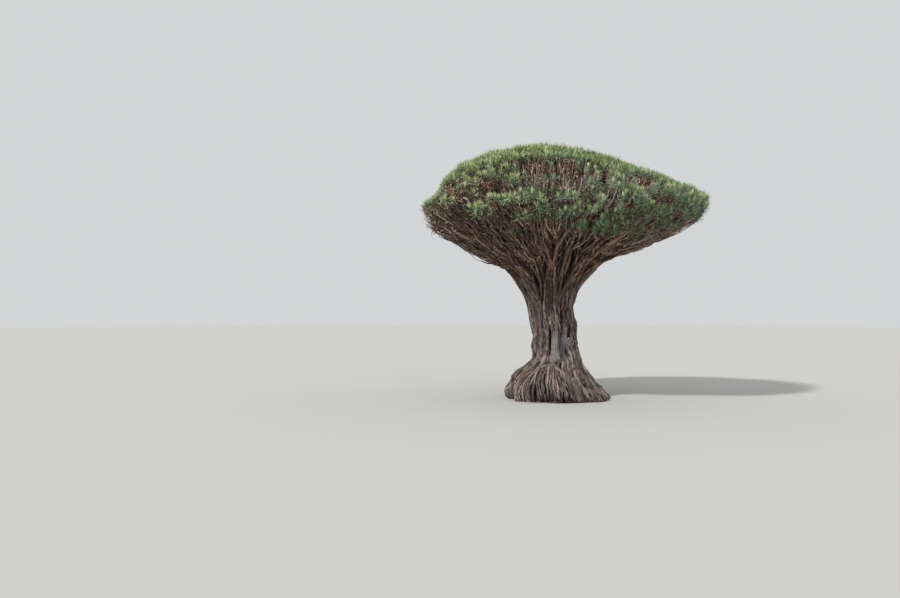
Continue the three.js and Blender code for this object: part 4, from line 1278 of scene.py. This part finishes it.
# tones by place: yellow-green over the top, partly painted sunlight; paler grey-green to the right; blue-green on the
# lower tiers, partly painted shade
deg = np.degrees(tip_phi) % 360
hearts, outers = np.zeros(n, int), np.zeros(n, int)
patchy = ripple(tip, 1.4, 77)
sx, sy = seen_at(tip)
# high on the middle of the face rosettes take darker tones as painted shade, lower on it paler tones as painted light
high_mid = (np.abs(sx - 550) < 56) & (np.abs(sy - 180) < 12) & (tip[:, 1] < 0.5)
low_mid = (np.abs(sx - 543) < 64) & (np.abs(sy - 206) < 14) & (tip[:, 1] < 0.5)
# each rosette's heart leaves take the paler tone and its outer leaves the darker: partly their age, partly painted
# highlight on the hearts and painted shade on the outer leaves
for i in range(n):
    u = rng.uniform() + 0.22 * patchy[i]
    across_ = math.cos(tip_phi[i] + 0.12) * tip_rho[i]          # -1 at the left, 1 at the right
    # rosettes deep inside the crown take dull and dark tones as painted shade
    if is_deep[i]:
        h, o = ("leaf_dull", "leaf_deep") if u < 0.5 else ("leaf_olive", "leaf_deep")
    elif stray[i]:
        h, o = ("leaf_grey", "leaf_dull") if u < 0.4 else ("leaf_pale", "leaf_sea") if u < 0.7 else ("leaf_grey", "leaf_sea")
    elif is_dome[i]:
        if across_ < -0.4 and rng.uniform() < 0.4:
            h, o = ("leaf_bright", "leaf_olive") if u < 0.4 else ("leaf_lime", "leaf_dull")
        elif rng.uniform() < 0.9 * smooth(-0.12, 0.3, across_ + 0.1 * patchy[i]):      # no straight edge between the two sides
            h, o = (("leaf_grey", "leaf_sea") if u < 0.3 else ("leaf_lime", "leaf_sea") if u < 0.46 else ("leaf_fresh", "leaf_blue") if u < 0.84 else ("leaf_lime", "leaf_dull"))
        elif u < 0.16:
            h, o = "leaf_pale", "leaf_grey"
        elif u < 0.40:
            h, o = ("leaf_pale", "leaf_blue") if rng.uniform() < 0.2 + 0.5 * max(0, across_) else ("leaf_bright", "leaf_lime")
        elif u < 0.66:
            h, o = ("leaf_pale", "leaf_grey") if rng.uniform() < 0.15 + 0.45 * max(0, across_) else ("leaf_bright", "leaf_fresh")
        elif u < 0.86:
            h, o = "leaf_lime", "leaf_fresh"
        else:
            h, o = "leaf_lime", "leaf_olive"
    # painted shade high on the face, painted light low on it
    elif high_mid[i] and rng.uniform() < 0.6:
        h, o = ("leaf_grey", "leaf_deep") if u < 0.5 else ("leaf_dull", "leaf_sea")
    elif low_mid[i] and rng.uniform() < 0.85:
        h, o = ("leaf_pale", "leaf_grey") if u < 0.6 else ("leaf_bright", "leaf_grey") if u < 0.8 else ("leaf_pale", "leaf_blue")
    elif across_ < -0.35 and u < 0.6:
        h, o = ("leaf_bright", "leaf_grey") if rng.uniform() < 0.5 else ("leaf_pale", "leaf_dull")
    elif u < 0.12:
        h, o = "leaf_bright", "leaf_fresh"
    elif u < 0.32:
        h, o = "leaf_pale", "leaf_grey"
    elif u < 0.62:
        h, o = "leaf_grey", "leaf_blue"
    elif u < 0.84:
        h, o = "leaf_grey", "leaf_sea"
    elif u < 0.92:
        h, o = "leaf_pale", "leaf_dull"
    else:
        h, o = "leaf_fresh", "leaf_blue"
    hearts[i], outers[i] = T[h], T[o]

size = LEAF * rng.uniform(0.82, 1.12, n) * np.where(is_dome, 1.0, 1.0)
# a few hearts are painted cream as painted highlights, most on the crown's left shoulder and low on the face
glint_hearts = rng.uniform(0, 1, n) < np.where(is_dome, 0.05 + 0.1 * (np.cos(tip_phi + 0.12) * tip_rho < -0.5), 0.09 + 0.14 * low_mid)
SECTORS = {"leaves_right": (-52, 28), "leaves_back_right": (28, 100), "leaves_back_left": (100, 184), "leaves_front_left": (184, 262), "leaves_front": (262, 308)}
N_HEART, N_OUTER = 12, 21
leaf_pieces = {}


def strewn(kinds, share):
    """A share of the leaves takes another tone than the rest of their rosette."""
    other = rng.choice([T["leaf_pale"], T["leaf_grey"], T["leaf_deep"], T["leaf_olive"], T["leaf_dull"], T["leaf_sea"]], len(kinds), p=[0.22, 0.18, 0.2, 0.1, 0.16, 0.14])
    return np.where(rng.uniform(0, 1, len(kinds)) < share, other, kinds)


for name, (a, b) in SECTORS.items():
    mid, half = math.radians((a + b) / 2), math.radians((b - a) / 2)
    ids = np.flatnonzero((np.abs(wrap(tip_phi - mid)) <= half) & (wrap(tip_phi - mid) < half) & ~is_bare)
    pile = Pile()
    v, q, t = rosette(tip[ids], axis[ids], size[ids] * 0.95, N_HEART, 5, 36, rng, 1, 8, along=(0.08, 0.02))
    rep = strewn(np.repeat(hearts[ids], N_HEART), 0.16)
    # cream hearts: painted highlights
    rep[np.repeat(glint_hearts[ids], N_HEART) & (rng.uniform(0, 1, len(rep)) < 0.5)] = T["leaf_cream_glint"]
    pile.add(v, q, t, rep, rep)
    v, q, t = rosette(tip[ids], axis[ids], size[ids], N_OUTER, 30, 108, rng, 1, 26, along=(0.03, -0.12))
    rep = strewn(np.repeat(outers[ids], N_OUTER), 0.34)
    pile.add(v, q, t, rep, rep)
    leaf_pieces[name] = (pile, mid, half)
    print(name, len(ids), pile.triangles())

# ---- dry leaves that hang under some rosettes, and old flower stalks
dry = Pile()
dry_share = np.where(is_dome, 0.14 + 0.3 * smooth(0.8, 0.97, tip_rho), 0.05) * np.clip(0.7 + 0.9 * ripple(tip, 0.9, 78), 0, 1.4)
ids = np.flatnonzero((rng.uniform(0, 1, n) < dry_share) & ~is_bare)
sx, sy = seen_at(tip)
near = np.zeros(n, bool)
for x, y, w in RUST:
    near |= (np.hypot(sx - x, (sy - y)) < w) & (tip[:, 1] < 1.5)
ids = np.union1d(ids, np.flatnonzero(near & ~is_bare))
v, q, t = rosette(tip[ids], axis[ids], size[ids] * 0.95, 15, 112, 166, rng, 1, 14, along=(-0.1, -0.34), slim=0.85)
kind = np.repeat(rng.choice(4, len(ids), p=[0.42, 0.24, 0.16, 0.18]), 15)
dry.add(v, q, t, kind, kind)
ids = np.flatnonzero(near & (~is_bare | (rng.uniform(0, 1, n) < 0.4)))
v, q, t = rosette(tip[ids], axis[ids], np.where(is_bare[ids], 0.42, size[ids]), 16, 70, 150, rng, 1, 24, along=(0.0, -0.5), slim=1.1)
kind = np.repeat(rng.choice(4, len(ids), p=[0.44, 0.2, 0.1, 0.26]), 16)
dry.add(v, q, t, kind, kind)
ids = np.flatnonzero(is_bare & (rng.uniform(0, 1, n) < 0.38))
v, q, t = rosette(tip[ids], axis[ids], rng.uniform(0.09, 0.2, len(ids)), 4, 10, 70, rng, 1, 30, along=(0.02, -0.03), slim=1.5)
kind = np.repeat(rng.choice([2, 2, 1, 3], len(ids)), 4)
dry.add(v, q, t, kind, kind)
print("dry", len(ids), dry.triangles())

stalks = Pile()
ids = np.flatnonzero(is_dome & (rng.uniform(0, 1, n) < 0.045))
for i in ids:
    U, P = axis[i], tip[i]
    L = rng.uniform(0.32, 0.5)
    lean_dir = unit(U + rng.normal(size=3) * 0.25)
    X_ = unit(np.cross(lean_dir, (0.3, 0.9, 0.1))); Y_ = np.cross(lean_dir, X_)
    tone = int(rng.choice([0, 2, 2, 3]))

    def twig(p, d, length, r):
        pts = np.stack([p, p + d * length * 0.5 + rng.normal(size=3) * 0.02, p + d * length])
        a_, x_, y_ = frames(pts)
        th = np.arange(3) * 2.094
        rr = np.array([r, r * 0.8, r * 0.3])
        vv = (pts[:, None] + (np.cos(th)[None, :, None] * x_[:, None] + np.sin(th)[None, :, None] * y_[:, None]) * rr[:, None, None]).reshape(-1, 3)
        qq = grid_quads(3, 3)
        stalks.add(vv, qq, np.array([[6, 7, 8], [2, 1, 0]]), np.full(len(qq), tone), np.full(2, tone))
    twig(P, lean_dir, L, 0.012)
    for b in range(10):
        s = 0.35 + 0.06 * b
        g = b * GOLDEN
        d = unit(lean_dir * 0.7 + (math.cos(g) * X_ + math.sin(g) * Y_))
        twig(P + lean_dir * L * s, d, L * rng.uniform(0.3, 0.5), 0.007)
print("stalks", len(ids), stalks.triangles())


# ------------------------------------------------------------------ bark
def bark(name, dark, mid, light, warm, cool, scale, bump, mottle_size=4.0, attrs=("hollow", "tone", "pale", "blue")):
    m = bpy.data.materials.new(name)
    m.use_nodes = True
    nt = m.node_tree
    N, Lk = nt.nodes, nt.links
    b = N["Principled BSDF"]
    b.inputs["Specular IOR Level"].default_value = 0.25

    def node(kind, **sets):
        x = N.new(kind)
        for k_, v_ in sets.items():
            setattr(x, k_, v_)
        return x

    def mix(fac, a, c, how="MIX"):
        x = node("ShaderNodeMix", data_type="RGBA", blend_type=how)
        x.inputs[0].default_value = fac if isinstance(fac, float) else 0.5
        if not isinstance(fac, float):
            Lk.new(fac, x.inputs[0])
        for sock, val in ((x.inputs[6], a), (x.inputs[7], c)):
            if isinstance(val, tuple):
                sock.default_value = val
            else:
                Lk.new(val, sock)
        return x.outputs[2]

    def ramp(src, lo, hi, a=0.0, c=1.0):
        x = node("ShaderNodeMapRange", interpolation_type="SMOOTHSTEP")
        Lk.new(src, x.inputs[0])
        x.inputs[1].default_value, x.inputs[2].default_value = lo, hi
        x.inputs[3].default_value, x.inputs[4].default_value = a, c
        return x.outputs[0]

    co = node("ShaderNodeTexCoord")
    mp = node("ShaderNodeMapping")
    mp.inputs["Scale"].default_value = (1, 1, 0.28)
    Lk.new(co.outputs["Object"], mp.inputs["Vector"])
    flat = node("ShaderNodeMapping")
    flat.inputs["Scale"].default_value = (1, 1, 0.5)
    Lk.new(co.outputs["Object"], flat.inputs["Vector"])

    def noise(size, detail, rough, vec):
        x = node("ShaderNodeTexNoise")
        x.inputs["Scale"].default_value = size
        x.inputs["Detail"].default_value = detail
        x.inputs["Roughness"].default_value = rough
        Lk.new(vec, x.inputs["Vector"])
        return x.outputs["Fac"]

    broad_n = noise(scale * 0.35, 3, 0.55, mp.outputs["Vector"])
    mid_n = noise(scale * 2.2, 4, 0.6, mp.outputs["Vector"])
    fine_n = noise(scale * 9, 4, 0.65, mp.outputs["Vector"])
    speck = noise(scale * 14, 2, 0.5, co.outputs["Object"])
    colour = mix(ramp(broad_n, 0.35, 0.65), srgb(*mid), srgb(*light))
    colour = mix(ramp(mid_n, 0.42, 0.7, 0, 0.55), colour, srgb(*warm))
    mottle = noise(mottle_size, 2, 0.5, flat.outputs["Vector"])
    colour = mix(ramp(mottle, 0.54, 0.66, 0, 0.62), colour, srgb(*[min(1.0, c * 1.16) for c in light]))
    colour = mix(ramp(mottle, 0.46, 0.36, 0, 0.6), colour, srgb(*dark))
    read = {}
    for key in attrs:
        x = node("ShaderNodeAttribute", attribute_name=key)
        read[key] = x.outputs["Fac"]
    if "tone" in read:
        colour = mix(ramp(read["tone"], 0.55, 1.0, 0, 0.6), colour, srgb(*cool))
        colour = mix(ramp(read["tone"], 0.35, 0.0, 0, 0.55), colour, srgb(*warm))
        colour = mix(ramp(read["tone"], 0.80, 0.92, 0, 0.75), colour, srgb(*[min(1.0, c * 1.22) for c in light]))
        colour = mix(ramp(read["tone"], 0.46, 0.42, 0, 0.4), colour, srgb(*dark))
    colour = mix(ramp(fine_n, 0.52, 0.78, 0, 0.5), colour, srgb(*dark))
    # the smooth face's streaked grey; the blue attribute paints blue-grey shade into the recess beside the face
    if "pale" in read:
        streak = noise(scale * 4.5, 3, 0.6, mp.outputs["Vector"])
        face_grey_and_painted_shade = mix(ramp(streak, 0.38, 0.62), srgb(0.36, 0.345, 0.345), srgb(0.50, 0.485, 0.485))
        face_grey_and_painted_shade = mix(ramp(mid_n, 0.40, 0.62, 0, 0.45), face_grey_and_painted_shade, srgb(0.42, 0.385, 0.36))
        if "blue" in read:
            face_grey_and_painted_shade = mix(ramp(read["blue"], 0.1, 0.9, 0, 0.85), face_grey_and_painted_shade, srgb(0.30, 0.335, 0.36))
        colour = mix(ramp(read["pale"], 0.2, 0.9, 0, 0.85), colour, face_grey_and_painted_shade)
    # painted shade: darker where the shade value is high, in the creases, slots, grooves and recesses of trunk and
    # boughs, with tone along ropes and twigs; painted highlight: lighter where it is below zero, on ridges, with pale
    # tone on ropes, stubs and knot rings
    if "hollow" in read:
        colour = mix(ramp(read["hollow"], 0.05, 1.1, 0, 0.86), colour, srgb(*[c * 0.42 for c in dark]))
        colour = mix(ramp(read["hollow"], -0.2, -0.9, 0, 0.3), colour, srgb(*light))
    if "age" in read:
        colour = mix(ramp(read["age"], 0.0, 0.6, 0, 0.9), colour, srgb(*dark))
    Lk.new(colour, b.inputs["Base Color"])
    Lk.new(ramp(speck, 0.3, 0.7, 0.72, 0.95), b.inputs["Roughness"])
    total = node("ShaderNodeMath", operation="MULTIPLY_ADD")
    Lk.new(mid_n, total.inputs[0])
    total.inputs[1].default_value = 1.0
    Lk.new(fine_n, total.inputs[2])
    bp = node("ShaderNodeBump")
    bp.inputs["Strength"].default_value = 0.55
    bp.inputs["Distance"].default_value = bump
    Lk.new(total.outputs[0], bp.inputs["Height"])
    Lk.new(bp.outputs["Normal"], b.inputs["Normal"])
    return m


trunk_bark = bark("trunk_bark", (0.13, 0.103, 0.085), (0.285, 0.242, 0.221), (0.465, 0.42, 0.395), (0.345, 0.255, 0.215), (0.32, 0.308, 0.318), 3.2, 0.02, 5.0)
bough_bark = bark("bough_bark", (0.14, 0.10, 0.075), (0.375, 0.295, 0.245), (0.53, 0.44, 0.385), (0.42, 0.285, 0.225), (0.37, 0.335, 0.325), 4.0, 0.015, 4.5)
branch_bark = bark("branch_bark", (0.14, 0.10, 0.075), (0.385, 0.296, 0.242), (0.585, 0.49, 0.43), (0.42, 0.27, 0.205), (0.44, 0.395, 0.38), 7.0, 0.008, 5.0, attrs=("hollow", "tone", "age"))
twig_bark = bark("twig_bark", (0.19, 0.14, 0.115), (0.41, 0.345, 0.31), (0.60, 0.535, 0.51), (0.45, 0.325, 0.27), (0.53, 0.485, 0.49), 8.0, 0.006, 5.0, attrs=("hollow", "tone"))

# ------------------------------------------------------------------ pieces
trunk = make("trunk_relief", trunk_parts["verts"], trunk_parts["quads"], trunk_parts["tris"], shades=[trunk_bark], facts=trunk_parts["facts"])
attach(trunk, "root"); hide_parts("trunk")
bough_nodes = [f"bough_{w}" for w in WORDS] + [f"bough_inner_{k + 1}" for k in range(INNER)]
bough_piece = boughs.make("bough_relief", [bough_bark])
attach(bough_piece, "root"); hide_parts(*bough_nodes)
limb_piece = limbs.make("limb_relief", [bough_bark])
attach(limb_piece, "root"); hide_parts(*[f"limb_{w}_{s}" for w in WORDS for s in "ab"])
for name, pile in (("root_ropes_column", ropes_high), ("root_ropes_foot", ropes_low)):
    ob = pile.make(name, [trunk_bark])
    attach(ob, "root")
branch_piece = branches.make("branches", [branch_bark])
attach(branch_piece, "root")
branchlet_piece = branchlets.make("branchlets", [twig_bark])
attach(branchlet_piece, "root")

masses = [n_ for n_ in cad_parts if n_.startswith("foliage_")]
for name, (pile, mid, half) in leaf_pieces.items():
    ob = pile.make(name, leaf_mats)
    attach(ob, "root")
    own = []
    for node_name in masses:
        lo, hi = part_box(node_name)
        c = (lo + hi) / 2
        if node_name == "foliage_top" or abs(wrap(math.atan2(c.y, c.x) - mid)) <= half + 0.02:
            own.append(node_name)
    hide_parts(*own)
dry_piece = dry.make("dry_leaves", dry_mats)
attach(dry_piece, "root")
stalk_piece = stalks.make("flower_stalks", dry_mats)
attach(stalk_piece, "root")
count = {o.name: sum(len(p.vertices) - 2 for p in o.data.polygons) for o in bpy.data.objects if o.type == "MESH" and o.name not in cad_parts}
print("triangles", sum(count.values()), count)

# ------------------------------------------------------------------ floor, light and camera
bpy.ops.mesh.primitive_circle_add(vertices=96, radius=400, fill_type="NGON", location=(0, 0, -0.002))
floor = bpy.context.object
floor.name = "floor"
fm = bpy.data.materials.new("floor_pale")
fm.use_nodes = True
fb = fm.node_tree.nodes["Principled BSDF"]
fb.inputs["Base Color"].default_value = srgb(0.73, 0.73, 0.72)
fb.inputs["Roughness"].default_value = 0.9
fb.inputs["Specular IOR Level"].default_value = 0.1
floor.data.materials.append(fm)

world = bpy.data.worlds.new("soft_sky")
bpy.context.scene.world = world
world.use_nodes = True
bg = world.node_tree.nodes["Background"]
bg.inputs["Color"].default_value = (0.86, 0.87, 0.88, 1)
bg.inputs["Strength"].default_value = 0.76


def sun(name, strength, angle, az, el, colour):
    light = bpy.data.lights.new(name, "SUN")
    light.energy, light.angle, light.color = strength, math.radians(angle), colour
    ob = bpy.data.objects.new(name, light)
    ob.rotation_euler = (math.radians(90 - el), 0, math.radians(az))
    bpy.context.scene.collection.objects.link(ob)
    return ob


sun("key", 2.9, 5, -38, 38, (1.0, 0.98, 0.94))
sun("fill", 1.5, 60, 14, 4, (1.0, 0.99, 0.98))

cam = bpy.data.cameras.new("camera")
cam.lens, cam.sensor_width = 35, 36
cam.shift_y = 16 / 900
cam.clip_end = 2000
cam_ob = bpy.data.objects.new("camera", cam)
cam_ob.location = (0, -59.03, 5.6)
cam_ob.rotation_euler = (math.radians(90), 0, math.radians(6.97))
bpy.context.scene.collection.objects.link(cam_ob)
bpy.context.scene.camera = cam_ob
bpy.context.scene.view_settings.view_transform = "Standard"
